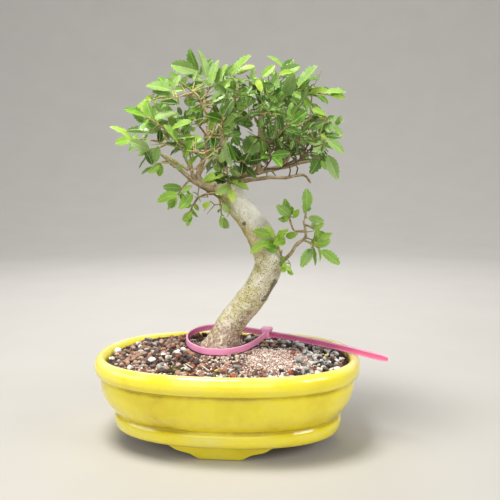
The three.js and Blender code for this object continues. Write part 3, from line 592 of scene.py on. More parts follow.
# Branches, in the order in which they leave the trunk or each other: x, y, z, radius.
branchLines = [
    # Low left branch and the upright leader that turns up from its knee.
    [(-2, 3, 186, 3.6), (-20, -4, 194, 2.2), (-25, -6, 197, 1.9), (-33, -8, 204, 1.5), (-40, -9, 209, 1.2),
     (-48, -12, 217, 0.9)],
    [(-12, 1, 191, 3.4), (-21, -2, 198, 2.3), (-20, -2, 206, 2), (-16, -2, 216, 1.9), (-15, -1, 225, 1.7),
     (-14, 0, 234, 1.6), (-14, 0, 243, 1.4), (-18, 0, 251, 1.2), (-22, -1, 259, 1), (-38, -4, 271, 0.7)],
    [(-16, 0, 247, 1.2), (-17, 0, 259, 0.9), (-18, 0, 269, 0.7)],
    [(-14, 0, 236, 1.4), (-11, 2, 244, 1.2), (-9, 2, 252, 0.9), (-6, 3, 260, 0.7)],
    [(-15, -1, 221, 1.4), (-32, -4, 222, 1.1), (-48, -5, 224, 0.8)],
    [(-23, -5, 195, 1.4), (-26, -10, 206, 1.2), (-30, -14, 215, 0.8)],
    # Arching branch across the front of the crown.
    [(-14, 0, 230, 1.4), (-2, -5, 236, 1.2), (10, -10, 240, 1.1), (24, -16, 243, 0.9), (36, -20, 242, 0.7)],
    # Main right branch, its riser, and the twigs that leave them.
    [(-1, 7, 194, 3.6), (8, 8, 199.5, 2.6), (26, 10, 204, 2), (41, 12, 207, 1.7), (54, 12, 210, 1.4),
     (71, 12, 214, 0.9)],
    [(22, 9, 203, 1.7), (24, 6, 216, 1.5), (24, 3, 230, 1.4), (25, 2, 244, 1.2), (32, 2, 252, 1),
     (44, 4, 258, 0.8), (56, 5, 259, 0.7)],
    [(25, 2, 238, 1.2), (38, 3, 243, 0.9), (52, 3, 242, 0.7), (60, 4, 237, 0.7)],
    [(40, 12, 206, 1.4), (48, 10, 218, 1.2), (55, 6, 229, 0.9), (66, 6, 227, 0.7)],
    # Bare low branch on the right.
    [(3, 3, 190, 2.3), (12, 2, 196, 1.8), (29, -3, 198.6, 1.4), (44, -6, 199, 1.2), (57, -8, 200.5, 0.9),
     (62, -8, 195, 0.7)],
    # Branches that fill the front and the back of the crown.
    [(-6, 2, 193, 2), (-4, -14, 208, 1.6), (-2, -26, 218, 1.2), (2, -36, 228, 0.8)],
    [(0, 2, 193, 2), (12, -12, 206, 1.5), (26, -26, 216, 1.2), (38, -36, 226, 0.7)],
    [(-17, -2, 213, 1.4), (-28, -16, 222, 1.2), (-38, -28, 230, 0.8)],
    [(-16, -2, 215, 1.6), (-24, 12, 224, 1.4), (-34, 26, 234, 1.1), (-42, 36, 242, 0.7)],
    [(-3, 6, 192, 2.2), (-4, 22, 210, 1.7), (-6, 36, 224, 1.4), (-4, 46, 238, 0.9)],
    [(10, 8, 200, 2), (22, 22, 212, 1.6), (34, 34, 224, 1.2), (44, 42, 234, 0.8)],
    [(-14, 0, 240, 1.2), (-6, 14, 250, 0.9), (0, 24, 258, 0.7)],
    # Small side branch half way up the trunk, with its own fork.
    [(30, -1, 134, 2.2), (41, -4, 136.5, 1.4), (46, -6, 141, 1.3), (52, -8, 149.6, 1.2), (58.6, -9, 156, 1),
     (58, -9, 163, 0.9), (57, -9, 167, 0.7), (59, -9, 171, 0.7)],
    [(58, -9, 160, 0.8), (50.5, -9, 160.5, 0.7), (47.6, -9, 166, 0.7)],
    # Bare twigs and pruned stubs.
    [(-48, -12, 216, 0.7), (-39, -10, 211, 0.7), (-28, -7, 204, 0.8)],
    [(-16, -1, 229, 0.9), (-12, 0, 241, 0.7), (-8, -2, 252, 0.7)],
    [(-3, 1, 186.6, 1.2), (-10, -4, 187, 0.9), (-17, -6, 186, 0.7), (-22, -8, 183, 0.7)],
    [(40, 11, 207, 0.9), (44, 4, 215, 0.7), (52, 0, 219, 0.7)],
    [(52, 12, 210, 0.9), (50, 4, 216, 0.7), (44, -2, 224, 0.7)],
]

# Leafy shoots: start inside a branch, tip, number of leaves, length of the tip leaf.
shootRows = [
    # Top and left of the crown.
    ((-18, 0, 266), (-20, -4, 275), 4, 18), ((-17, 0, 258), (-10, 3, 268), 5, 17),
    ((-24, -1, 260), (-32, -7, 268), 5, 12), ((-30, -2, 265), (-44, -3, 265), 5, 16),
    ((-22, -1, 258), (-54, -10, 255), 6, 12), ((-41, -5, 223), (-58, -8, 239), 5, 15),
    ((-47, -5, 224), (-69, -4, 227), 5, 16), ((-44, -5, 223.5), (-56, -13, 215), 5, 13),
    ((-42, -9.5, 210.6), (-53, -11, 207), 3, 11), ((-26, -6, 198), (-35, -11, 187), 4, 15),
    ((-21, -7.6, 183.6), (-26, -10, 175), 4, 10), ((-6, 0, 184), (-3, -11, 172), 3, 11),
    ((1, -3, 190), (2, -16, 201), 5, 14), ((-29, -13, 213), (-33, -19, 224), 5, 14),
    ((-15, -1, 229), (-23, -16, 240), 4, 14), ((-17, -2, 213), (-24, -27, 219), 4, 13),
    ((-14, -1, 227), (-5, -22, 229), 5, 17),
    # Front and right of the crown.
    ((10, -10, 204), (16, -31, 210), 5, 17), ((-4, -11, 205), (6, -25, 205), 5, 14),
    ((-8, 2, 255), (2, 6, 273), 5, 13), ((26, 2, 246), (20, -7, 263), 4, 13),
    ((-14, 0, 243), (-2, -14, 259), 4, 15), ((29, 2, 249), (40, 1, 274), 5, 14),
    ((22, -15, 242.6), (34, -21, 254), 5, 18), ((38, 3, 255), (53, -4, 265), 5, 17),
    ((36, 2.6, 254), (46, 14, 274), 4, 14), ((53, 4.6, 259), (74, 5, 260), 5, 13),
    ((50, 4.4, 258.6), (63, -6, 250), 4, 13), ((56, 3.4, 239.6), (72, 2, 240), 5, 14),
    ((55, 6, 229), (71, -10, 229), 5, 16), ((64, 6, 227.2), (73, -2, 216), 3, 20),
    ((34, -19, 242), (44, -28, 238), 4, 13), ((24, 4, 224), (37, -21, 225), 5, 13),
    ((-10, 2, 247), (6, -8, 247), 4, 14),
    # Small side branch.
    ((42, -4.4, 137.4), (36, -19, 155), 5, 15), ((47.8, -9, 165), (46, -12, 173), 4, 12),
    ((58, -9, 169), (59, -10, 175), 3, 16), ((57.6, -9, 164.6), (67, -12, 160), 5, 10),
    ((56, -8.6, 153.6), (69, -14, 147), 5, 18), ((38, -3, 135.8), (45, -14, 134), 3, 9),
    # Fill round the front and the back.
    ((1, -33, 225), (3, -50, 239), 5, 14), ((35, -33, 223), (50, -44, 235), 4, 14),
    ((24, -24, 214), (36, -43, 212), 4, 14), ((-36, -25, 228), (-52, -38, 240), 4, 14),
    ((-40, 33, 239.6), (-56, 46, 250), 4, 15), ((-32, 23, 232), (-54, 24, 236), 5, 14),
    ((-4.4, 44, 235), (-3, 56, 252), 4, 15), ((-5.6, 33, 221), (-22, 52, 226), 5, 14),
    ((42, 40, 232), (56, 50, 244), 5, 14), ((30, 30, 220), (52, 32, 226), 5, 14),
    ((18, 17, 208), (18, 46, 226), 6, 15), ((-1, 22, 256.6), (4, 34, 270), 4, 15),
    ((-8, 10, 247.6), (-22, 24, 262), 4, 15), ((44, 4, 258), (57, 24, 262.5), 4, 14),
]


# Twigs and blades are placed by the same draw as the solids', so that each leaf hangs where its solid does.
crownSizes = {
    "centre": (0, 0, 226),
    "back": 16,
    "twigRadii": (0.8, 0.5),
    "bladeWidth": 0.54,
    "bladeFold": 0.3,
    "bladeDroop": 0.16,
    "bladeGap": 2.3,
    "woodGap": 1.4,
    "thinTwigBack": 6,
    "thickTwigBack": -3,
    # A twig of the photograph thinner than this hangs behind the outer leaves.
    "thinTwig": 0.6,
    "stalkRadius": 0.42,
    # Width of a flat leaf as a share of its length.
    "leafShare": 0.46,
    # Filling leaves: how far out, back and up they grow, how near they come to another leaf, and how far
    # painted shade darkens them.
    "fillReach": 62,
    "fillBack": 62,
    "fillRoots": 274,
    "fillTop": 266,
    "fillGap": 4.2,
    "fillShadeFactor": 0.52,
    # Bare twigs low on the right: how many, and between which x and z they root.
    "tangled": 34,
    "tangledAcross": (16, 66),
    "tangledUp": (199, 224),
}


def makeDraw(seed):
    state = [seed]

    def draw():
        state[0] = state[0] * 16807 % 2147483647
        return state[0] / 2147483647
    return draw


def unit(direction):
    return direction / math.sqrt(float(direction.dot(direction)))


def twigPoint(twig, t):
    return twig[0] * (1 - t) ** 2 + 2 * twig[1] * t * (1 - t) + twig[2] * t ** 2


def twigHeading(twig, t):
    return unit(twigPoint(twig, min(t + 0.0001, 1.0)) - twigPoint(twig, max(t - 0.0001, 0.0)))


def pathLength(pointAt):
    spots = [pointAt(i / 200) for i in range(201)]
    return sum(math.dist(a, b) for a, b in zip(spots, spots[1:]))


# Point of a blade: folded up from its rib and drooping towards its tip.
def bladePoint(blade, along, offset):
    rise = crownSizes["bladeFold"] * abs(offset) - crownSizes["bladeDroop"] * blade["length"] * along * along
    return (blade["base"] + blade["along"] * along * blade["length"] + blade["across"] * offset
        + blade["normal"] * rise)


def bladeSamples(blade):
    samples = []
    for i in range(1, 8):
        along = 0.16 + 0.84 * i / 7
        half = 0.5 * crownSizes["bladeWidth"] * blade["length"] * math.sin(math.pi * min(along, 0.95))
        samples += [bladePoint(blade, along, half * share) for share in (-1, -0.33, 0.33, 1)]
    return np.array(samples)


def woodPlaces():
    spots, radii = [], []
    for rows in [trunkSizes["line"]] + branchLines:
        rows = np.array(rows, float)
        count = math.ceil(pathLength(lambda t, rows=rows: curvePoint(rows[:, :3], t)) / 2.5)
        for i in range(count + 1):
            spots.append(curvePoint(rows[:, :3], i / count))
            radii.append(np.interp(i / count * (len(rows) - 1), range(len(rows)), rows[:, 3]))
    return np.array(spots), np.array(radii)


def growTwigs():
    twigs = []
    for row in shootRows:
        start, tip = np.array(row[0], float), np.array(row[1], float)
        bend = start + (tip - start) * 0.5
        bend[2] += 0.12 * math.dist(start, tip)
        twigs.append((start, bend, tip))
    return twigs


def growBlades(twigs):
    woodSpots, woodRadii = woodPlaces()
    taken, owners = [], []
    for index, twig in enumerate(twigs):
        count = math.ceil(pathLength(lambda t, twig=twig: twigPoint(twig, t)) / 2)
        for i in range(count):
            taken.append(twigPoint(twig, (i + 1) / count))
            owners.append(index)
    taken, owners = np.array(taken), np.array(owners)
    shoots = []
    for index, (*_, count, tipLength) in enumerate(shootRows):
        draw, twig = makeDraw(4001 + 977 * index), twigs[index]
        middle = twigPoint(twig, 0.6)
        outward = unit(middle - np.array(crownSizes["centre"]))
        lightSide = -1 if middle[1] < crownSizes["back"] else 1
        blades = []
        for i in range(count - 1, -1, -1):
            isTip = i == count - 1
            place = 1 if isTip else 0.34 + 0.6 * (i + 0.5) / (count - 1)
            base = twigPoint(twig, 0.97 if isTip else place)
            heading = twigHeading(twig, place)
            share = 1 if isTip else 0.84 + 0.2 * draw()
            for attempt in range(14):
                facing = np.array((draw() - 0.5, draw() - 0.5 + 0.62 * lightSide, draw() - 0.1))
                facing = unit(facing + outward * 0.45)
                side = unit(np.cross(facing, heading))
                spread = math.radians(24 * (draw() - 0.5) if isTip else 42 + 22 * draw())
                turn = 1 if i % 2 == 0 else -1
                direction = heading * math.cos(spread) + side * turn * math.sin(spread)
                direction = unit(direction + facing * 0.3 * (draw() - 0.4))
                normal = unit(facing - direction * float(facing.dot(direction)))
                blade = {"base": base, "along": direction, "normal": normal,
                    "across": np.cross(normal, direction), "length": tipLength * share * (1 - 0.03 * attempt)}
                samples = bladeSamples(blade)
                near = np.linalg.norm(taken[:, None] - samples[None], axis=2).min(axis=1)
                if np.any((near < crownSizes["bladeGap"]) & (owners != index)):
                    continue
                wood = np.linalg.norm(woodSpots[:, None] - samples[None], axis=2).min(axis=1)
                if np.all(wood > woodRadii + crownSizes["woodGap"]):
                    taken = np.vstack((taken, samples))
                    owners = np.append(owners, [-1] * len(samples))
                    blades.append(blade)
                    break
        shoots.append(blades)
    return shoots


# Geometry Nodes tree with a geometry input and one named input for each size or data-block.
def newTree(name, sizes):
    kinds = {bpy.types.Material: "Material", bpy.types.Object: "Object", bpy.types.Collection: "Collection",
             float: "Float", int: "Int"}
    tree = bpy.data.node_groups.new(name, "GeometryNodeTree")
    tree.interface.new_socket("Geometry", in_out="INPUT", socket_type="NodeSocketGeometry")
    for label, value in sizes.items():
        kind = next(text for type_, text in kinds.items() if isinstance(value, type_))
        tree.interface.new_socket(label, in_out="INPUT", socket_type="NodeSocket" + kind)
    tree.interface.new_socket("Geometry", in_out="OUTPUT", socket_type="NodeSocketGeometry")
    add = partial(addNode, tree)
    return tree, add, add("NodeGroupInput").outputs


# The plain mesh that a tree makes of a piece.
def grown(piece, tree, sizes):
    modifier = piece.modifiers.new(tree.name, "NODES")
    modifier.node_group = tree
    for item in tree.interface.items_tree:
        if item.in_out == "INPUT" and item.name in sizes:
            modifier[item.identifier] = sizes[item.name]
    return settled(piece)


# Last nodes of a tree: its shape made real and given its material.
def finishTree(add, shape, material):
    real = add("GeometryNodeRealizeInstances", {"Geometry": shape})
    made = add("GeometryNodeSetMaterial", {"Geometry": real, "Material": material})
    add("NodeGroupOutput", {"Geometry": made})


# Tubes along the edges of a mesh, as thick as its "thick" attribute says.
def tubesAlong(add, lines, sides):
    path = add("GeometryNodeMeshToCurve", {"Mesh": lines})
    section = add("GeometryNodeCurvePrimitiveCircle", {"Resolution": sides, "Radius": 1.0})
    thick = add("GeometryNodeInputNamedAttribute", {"Name": "thick"}, data_type="FLOAT")
    tube = add("GeometryNodeCurveToMesh", {"Curve": path, "Profile Curve": section, "Scale": thick,
        "Fill Caps": True})
    return add("GeometryNodeSetShadeSmooth", {"Geometry": tube})


def woodTree(sizes):
    tree, add, given = newTree("wood", sizes)
    isLine = add("GeometryNodeInputNamedAttribute", {"Name": "isLine"}, data_type="FLOAT")
    apart = add("GeometryNodeSeparateGeometry", {"Geometry": given["Geometry"], "Selection": isLine})
    tubes = tubesAlong(add, apart.outputs["Selection"], given["Branch sides"])
    where = add("GeometryNodeInputPosition")
    rough = add("TexNoise", {"Vector": where, "Scale": 1 / (2.6 * mm), "Detail": 2.0})
    push = add("Math", [rough, 0.5], operation="SUBTRACT")
    far = add("Math", [push, given["Bark relief"]], operation="MULTIPLY")
    outward = add("VectorMath", {0: add("GeometryNodeInputNormal"), "Scale": far}, operation="SCALE")
    gnarled = add("GeometryNodeSetPosition", {"Geometry": tubes, "Offset": outward})
    whole = add("GeometryNodeJoinGeometry", {"Geometry": [apart.outputs["Inverted"], gnarled]})
    finishTree(add, whole, given["Bark"])
    return tree


# Points along a branch with its thickness: a collar where it starts and a knot here and there.
def branchPath(rows, draw, collar=0.5):
    rows = np.array(rows, float)
    length = pathLength(lambda t: curvePoint(rows[:, :3], t))
    steps = max(math.ceil(length / 1.3), 4)
    spots, thick = [], []
    knots = [draw() * length for _ in range(math.ceil(length / 9))]
    for i in range(steps + 1):
        t = i / steps
        run = t * length
        radius = float(np.interp(t * (len(rows) - 1), range(len(rows)), rows[:, 3]))
        knotted = sum(0.2 * math.exp(-((run - k) / 0.9) ** 2) for k in knots)
        swell = 1 + collar * math.exp(-run / 2.6) + knotted
        place = curvePoint(rows[:, :3], t)
        drift = noise.noise_vector(Vector(place / 7)) * 0.35 * min(1, run / 3)
        spots.append(place + np.array(drift))
        thick.append(radius * swell * mm)
    return spots, thick


def buildTrunk():
    draw = random.Random(5).random
    points, faces = trunkSkin()
    skinCount = len(points)
    thick, edges = [0.0] * skinCount, []
    for rows in branchLines:
        spots, wide = branchPath(rows, draw)
        edges += [(len(points) + i, len(points) + i + 1) for i in range(len(spots) - 1)]
        points += spots
        thick += wide
    spots = np.array(points)

    def near(places):
        shares = [np.exp(-np.sum((spots - centre) ** 2, axis=1) / reach ** 2) for centre, reach in places]
        return np.clip(1.5 * sum(shares), 0, 1)

    scarred = sum(np.exp(-((np.linalg.norm(spots - centre, axis=1) - radius) / 0.6) ** 2)
        for centre, radius in trunkSizes["scars"])
    tint = {"isLine": [0.0] * skinCount + [1.0] * (len(points) - skinCount), "thick": thick,
        "nearSoil": np.maximum(np.clip((112 - spots[:, 2]) / 34, 0, 1), near(trunkSizes["blushes"])),
        "stain": np.maximum(near(trunkSizes["stains"]), scarred), "pored": near(trunkSizes["poreSpots"])}
    piece = meshObject("elm_trunk", spots, faces, attributes=tint, edges=edges)
    sizes = {"Branch sides": 12, "Bark relief": 0.5 * mm, "Bark": barkMaterial()}
    finishPiece(grown(piece, woodTree(sizes), sizes), "bark", "trunk")


# Leaf pattern. Between two notches the outline of one side has a tooth that points to the tip. Each place
# is a share along the rib and a share of the half width.
leafShape = {
    "notches": [
        (0.07, 0.0), (0.18, 0.52), (0.31, 0.76), (0.45, 0.87), (0.59, 0.86), (0.73, 0.73),
        (0.86, 0.5), (1.0, 0.0),
    ],
    "teeth": [(0.135, 0.46), (0.285, 0.88), (0.425, 1.04), (0.565, 1.08), (0.705, 0.99), (0.835, 0.79),
              (0.95, 0.42)],
    "ribHeight": 0.24,
    "stalk": [(-0.02, 0.07, 0.36), (0.13, 0.045, 0.26)],
    # Painted light: how much lighter and yellower the leaves in photoLeaves are made (below zero, darker), by
    # the part of the tree.
    "regionLight": {"crown_left": -0.03, "crown_right": 0.03, "crown_foot": 0.12, "side_branch": 0.07},
    # Strength of the painted sky reflection on the leaves in photoLeaves.
    "skySheenStrength": 0.9,
}


# Flat pattern of one leaf: x is the share along the rib, y that of the half width, z a lift in mm.
def leafTemplate():
    notches, teeth = leafShape["notches"], leafShape["teeth"]
    index, faces = {}, []

    def at(u, v, w):
        return index.setdefault((u, v, w), len(index))

    for up in (1, -1):
        lift = up * leafShape["ribHeight"]
        rib = [at(u, 0, lift * (1 - 0.7 * u) if 0 < i < len(teeth) else 0)
            for i, (u, v) in enumerate(notches)]
        for side in (1, -1):
            edge = [rib[i] if v == 0 else at(u, side * v, 0) for i, (u, v) in enumerate(notches)]
            for i, (u, v) in enumerate(teeth):
                tooth = at(u, side * v, 0)
                for face in ([rib[i], rib[i + 1], tooth, edge[i]], [rib[i + 1], edge[i + 1], tooth]):
                    # Both skins start a face at the rib, so that they split along the same line.
                    face = face if side * up > 0 else [face[0]] + face[:0:-1]
                    face = [point for k, point in enumerate(face) if point != face[k - 1]]
                    if len(face) > 2:
                        faces.append(face)
    rings = [[at(u, v * c, w * s) for c, s in ((1, 0), (0, 1), (-1, 0), (0, -1))] for u, v,
        w in leafShape["stalk"]]
    faces += [[rings[0][k], rings[0][k - 1], rings[1][k - 1], rings[1][k]] for k in range(4)]
    faces += [rings[0], rings[1][::-1]]
    mesh = bpy.data.meshes.new("leaf_pattern")
    mesh.from_pydata([(0, 0, 0)] * len(index), [], faces)
    shares = list(index)
    setAttribute(mesh, "blade", shares)
    mesh.polygons.foreach_set("use_smooth", [True] * len(mesh.polygons))
    # The outline and the rib are creases.
    for line in mesh.edges:
        one, two = (shares[k] for k in line.vertices)
        isOutline = one[2] == two[2] == 0 and (one[1] != 0 or two[1] != 0)
        line.use_edge_sharp = isOutline or one[1] == two[1] == 0
    return bpy.data.objects.new("leaf_pattern", mesh)


def leafMaterial():
    # Elm leaf: glossy and leathery above, paler and matt below, with a cream midrib and sunk side veins.
    material, add, shader, where = newMaterial("elm_leaf")
    tone = add("Attribute", attribute_name="tone")
    blade = add("Attribute", attribute_name="blade")
    part = add("SeparateXYZ", {"Vector": blade.outputs["Vector"]}).outputs
    across = add("Math", [part["Y"]], operation="ABSOLUTE")
    fleck = add("TexNoise", {"Vector": where, "Scale": 1 / (2.6 * mm), "Detail": 4.0})
    cloud = add("Math", [fleck, 0.24, tone], operation="MULTIPLY_ADD")
    ramp = add("ValToRGB", {"Fac": cloud}, stops=[(0.05, "#0C1C03"), (0.26, "#27500D"), (0.46, "#4E8419"),
        (0.66, "#78A62A"), (0.84, "#94B83A"), (1.0, "#B2CC4C")])
    # Painted sky reflection: leaves that catch the sky are mixed towards a pale chalky green, more of them on
    # the left and at the top.
    chalk = add("Attribute", attribute_name="chalk")
    dustAndSheen = add("Mix", {0: chalk, 6: ramp, 7: "#A4BE7E"}, data_type="RGBA")
    # Side veins: lines that slant forward from the rib.
    slant = add("Math", [across, -0.16, part["X"]], operation="MULTIPLY_ADD")
    wave = add("Math", [slant, 2 * math.pi * 5.5], operation="MULTIPLY")
    line = add("Math", [add("Math", [wave], operation="COSINE")], operation="ABSOLUTE")
    veins = add("MapRange", {"Value": line, "From Min": 0.8, "To Max": 0.22})
    rib = add("MapRange", {"Value": across, "From Min": 0.11, "From Max": 0.04, "To Max": 0.75})
    marks = add("Math", [veins, rib], operation="MAXIMUM")
    veined = add("Mix", {0: marks, 6: dustAndSheen, 7: "#B6C96C"}, data_type="RGBA")
    below = add("MapRange", {"Value": part["Z"], "From Min": -0.02, "From Max": -0.07, "To Max": 0.4})
    pale = add("Mix", {0: below, 6: veined, 7: "#98B462"}, data_type="RGBA")
    height = add("Math", [marks, -1.2, fleck], operation="MULTIPLY_ADD")
    bump = add("Bump", {"Height": height, "Strength": 0.45, "Distance": 0.25 * mm})
    rough = add("MapRange", {"Value": cloud, "To Min": 0.22, "To Max": 0.5})
    feed(shader, {"Base Color": pale, "Roughness": rough, "Normal": bump, "IOR": 1.45,
        "Subsurface Weight": 0.1, "Subsurface Radius": (0.4, 0.8, 0.15), "Subsurface Scale": 0.6 * mm})
    return material


def twigMaterial():
    # Young elm wood: green on the leaf stalks, tan and a little rough on the thicker twigs.
    material, add, shader, where = newMaterial("young_elm_twig")
    grain = add("TexNoise", {"Vector": where, "Scale": 1 / (1.6 * mm), "Detail": 4.0})
    ramp = add("ValToRGB", {"Fac": grain}, stops=[(0.3, "#77603A"), (0.48, "#A08A5A"), (0.64, "#C2AE80"),
        (0.8, "#DACBA4")])
    thick = add("Attribute", attribute_name="thick")
    young = add("MapRange", {"Value": thick, "From Min": 0.58 * mm, "From Max": 0.4 * mm, "To Max": 0.8})
    fresh = add("Mix", {0: young, 6: ramp, 7: "#8FA84C"}, data_type="RGBA")
    # The twigs low on the right are nearly black.
    old = add("Attribute", attribute_name="tone")
    colour = add("Mix", {0: old, 6: fresh, 7: "#4C3423"}, data_type="RGBA")
    bump = add("Bump", {"Height": grain, "Strength": 0.4, "Distance": 0.2 * mm})
    feed(shader, {"Base Color": colour, "Normal": bump, "Roughness": 0.65})
    return material


# A leaf pattern is put on each leaf point and then bent to that leaf's own rib, fold and droop.
def shootTree(sizes):
    tree, add, given = newTree("leafy_shoot", sizes)
    kinds = {"FLOAT": ("isLeaf", "reach", "halfWidth", "bend", "fold", "droop", "twist"),
             "FLOAT_VECTOR": ("blade", "along", "across", "upward")}
    value = {label: add("GeometryNodeInputNamedAttribute", {"Name": label}, data_type=kind)
        for kind, labels in kinds.items() for label in labels}
    apart = add("GeometryNodeSeparateGeometry", {"Geometry": given["Geometry"], "Selection": value["isLeaf"]})
    pattern = add("GeometryNodeObjectInfo", {"Object": given["Leaf pattern"]}).outputs["Geometry"]
    put = add("GeometryNodeInstanceOnPoints", {"Points": apart.outputs["Selection"], "Instance": pattern})
    leaves = add("GeometryNodeRealizeInstances", {"Geometry": put})
    part = add("SeparateXYZ", {"Vector": value["blade"]}).outputs
    value.update(x=part["X"], y=part["Y"], z=part["Z"], edgeWave=given["Edge wave"])
    # Steps of the sum: result, operation and what goes into it.
    steps = [
        ("half", "MULTIPLY", "reach", "halfWidth"), ("aside", "MULTIPLY", "y", "half"),
        ("ahead", "MULTIPLY", "x", "reach"), ("square", "MULTIPLY", "x", "x"),
        ("far", "MULTIPLY", "reach", "square"), ("bent", "MULTIPLY", "far", "bend"),
        ("sideways", "ADD", "aside", "bent"), ("span", "ABSOLUTE", "aside"),
        ("folded", "MULTIPLY", "span", "fold"), ("drooped", "MULTIPLY", "far", "droop"),
        ("phase", "MULTIPLY_ADD", "x", 17.0, "y"), ("ripple", "SINE", "phase"),
        ("outside", "ABSOLUTE", "y"), ("rippled", "MULTIPLY", "ripple", "outside"),
        ("wavy", "MULTIPLY", "rippled", "edgeWave"), ("lift", "MULTIPLY", "z", mm),
        ("curled", "SUBTRACT", "folded", "drooped"), ("raised", "ADD", "wavy", "lift"),
        ("rise", "ADD", "curled", "raised"), ("turned", "MULTIPLY", "aside", "x"),
        ("twisted", "MULTIPLY", "turned", "twist"), ("upwards", "ADD", "rise", "twisted"),
    ]
    for result, operation, *inputs in steps:
        value[result] = add("Math", [value.get(name, name) for name in inputs], operation=operation)
    moves = [add("VectorMath", {0: value[way], "Scale": value[far]}, operation="SCALE")
        for way, far in (("along", "ahead"), ("across", "sideways"), ("upward", "upwards"))]
    total = moves[0]
    for move in moves[1:]:
        total = add("VectorMath", [total, move], operation="ADD")
    shaped = add("GeometryNodeSetPosition", {"Geometry": leaves, "Offset": total})
    twigs = tubesAlong(add, apart.outputs["Inverted"], given["Twig sides"])
    whole = add("GeometryNodeJoinGeometry", {"Geometry": [shaped, twigs]})
    real = add("GeometryNodeRealizeInstances", {"Geometry": whole})
    green = add("GeometryNodeSetMaterial", {"Geometry": real, "Material": given["Leaf"]})
    isTwig = add("Math", [value["isLeaf"], 0.5], operation="LESS_THAN")
    made = add("GeometryNodeSetMaterial", {"Geometry": green, "Selection": isTwig, "Material": given["Twig"]})
    add("NodeGroupOutput", {"Geometry": made})
    return tree


# How dark a twig is: most so low on the right of the crown.
def darkTwigShare(spot):
    return 0.9 * smoothStep(spot[0], 14, 30) * smoothStep(spot[2], 196,
        202) * (1 - smoothStep(spot[2], 218, 232))


# Twigs as lines of points, and leaves as single points with their own frames.
def shootObject(name, paths, blades, draw):
    points, edges, rows = [], [], []
    for spots, thick in paths:
        edges += [(len(points) + i, len(points) + i + 1) for i in range(len(spots) - 1)]
        points += list(spots)
        rows += [(0, 0, 0, 0, 0, 0, 0, darkTwigShare(spot), 0, wide * mm) for spot, wide in zip(spots, thick)]
    frames = [(np.zeros(3),) * 3] * len(points)
    for blade in blades:
        points.append(blade["base"])
        frames.append((blade["along"], blade["across"], blade["normal"]))
        # chalk of a leaf: how much painted sky reflection it gets.
        rows.append((1, blade["length"] * mm, blade.get("half", 0.2 + 0.06 * draw()), 0.16 + 0.38 * draw(),
            0.02 + 0.24 * draw(), 0.24 * (draw() - 0.5), 0.5 * (draw() - 0.5), blade["tone"],
            blade.get("chalk", 0.22 * draw() ** 2), 0))
    labels = ("isLeaf", "reach", "halfWidth", "fold", "droop", "bend", "twist", "tone", "chalk", "thick")
    data = {label: column for label, column in zip(labels, np.array(rows, float).T)}
    for label, column in zip(("along", "across", "upward"), zip(*frames)):
        data[label] = np.array(column)
    return meshObject(name, points, [], attributes=data, edges=edges)


# Leaves on the left and at the top are young and yellow-green, right-hand ones darker; inner ones are
# darkened by painted shade and low ones lightened by painted light.
def leafTone(place, draw):
    left = smoothStep(-place[0], -10, 50)
    top = smoothStep(place[2], 225, 275)
    # deep darkens the inner leaves as painted shade; low lightens the leaves low down as painted light.
    deep = 1 - smoothStep(math.dist(place, crownSizes["centre"]), 22, 58)
    low = 1 - smoothStep(place[2], 180, 205)
    return 0.16 + 0.12 * left + 0.06 * top + 0.24 * low - 0.26 * deep + 0.42 * draw() * draw() + 0.14 * draw()


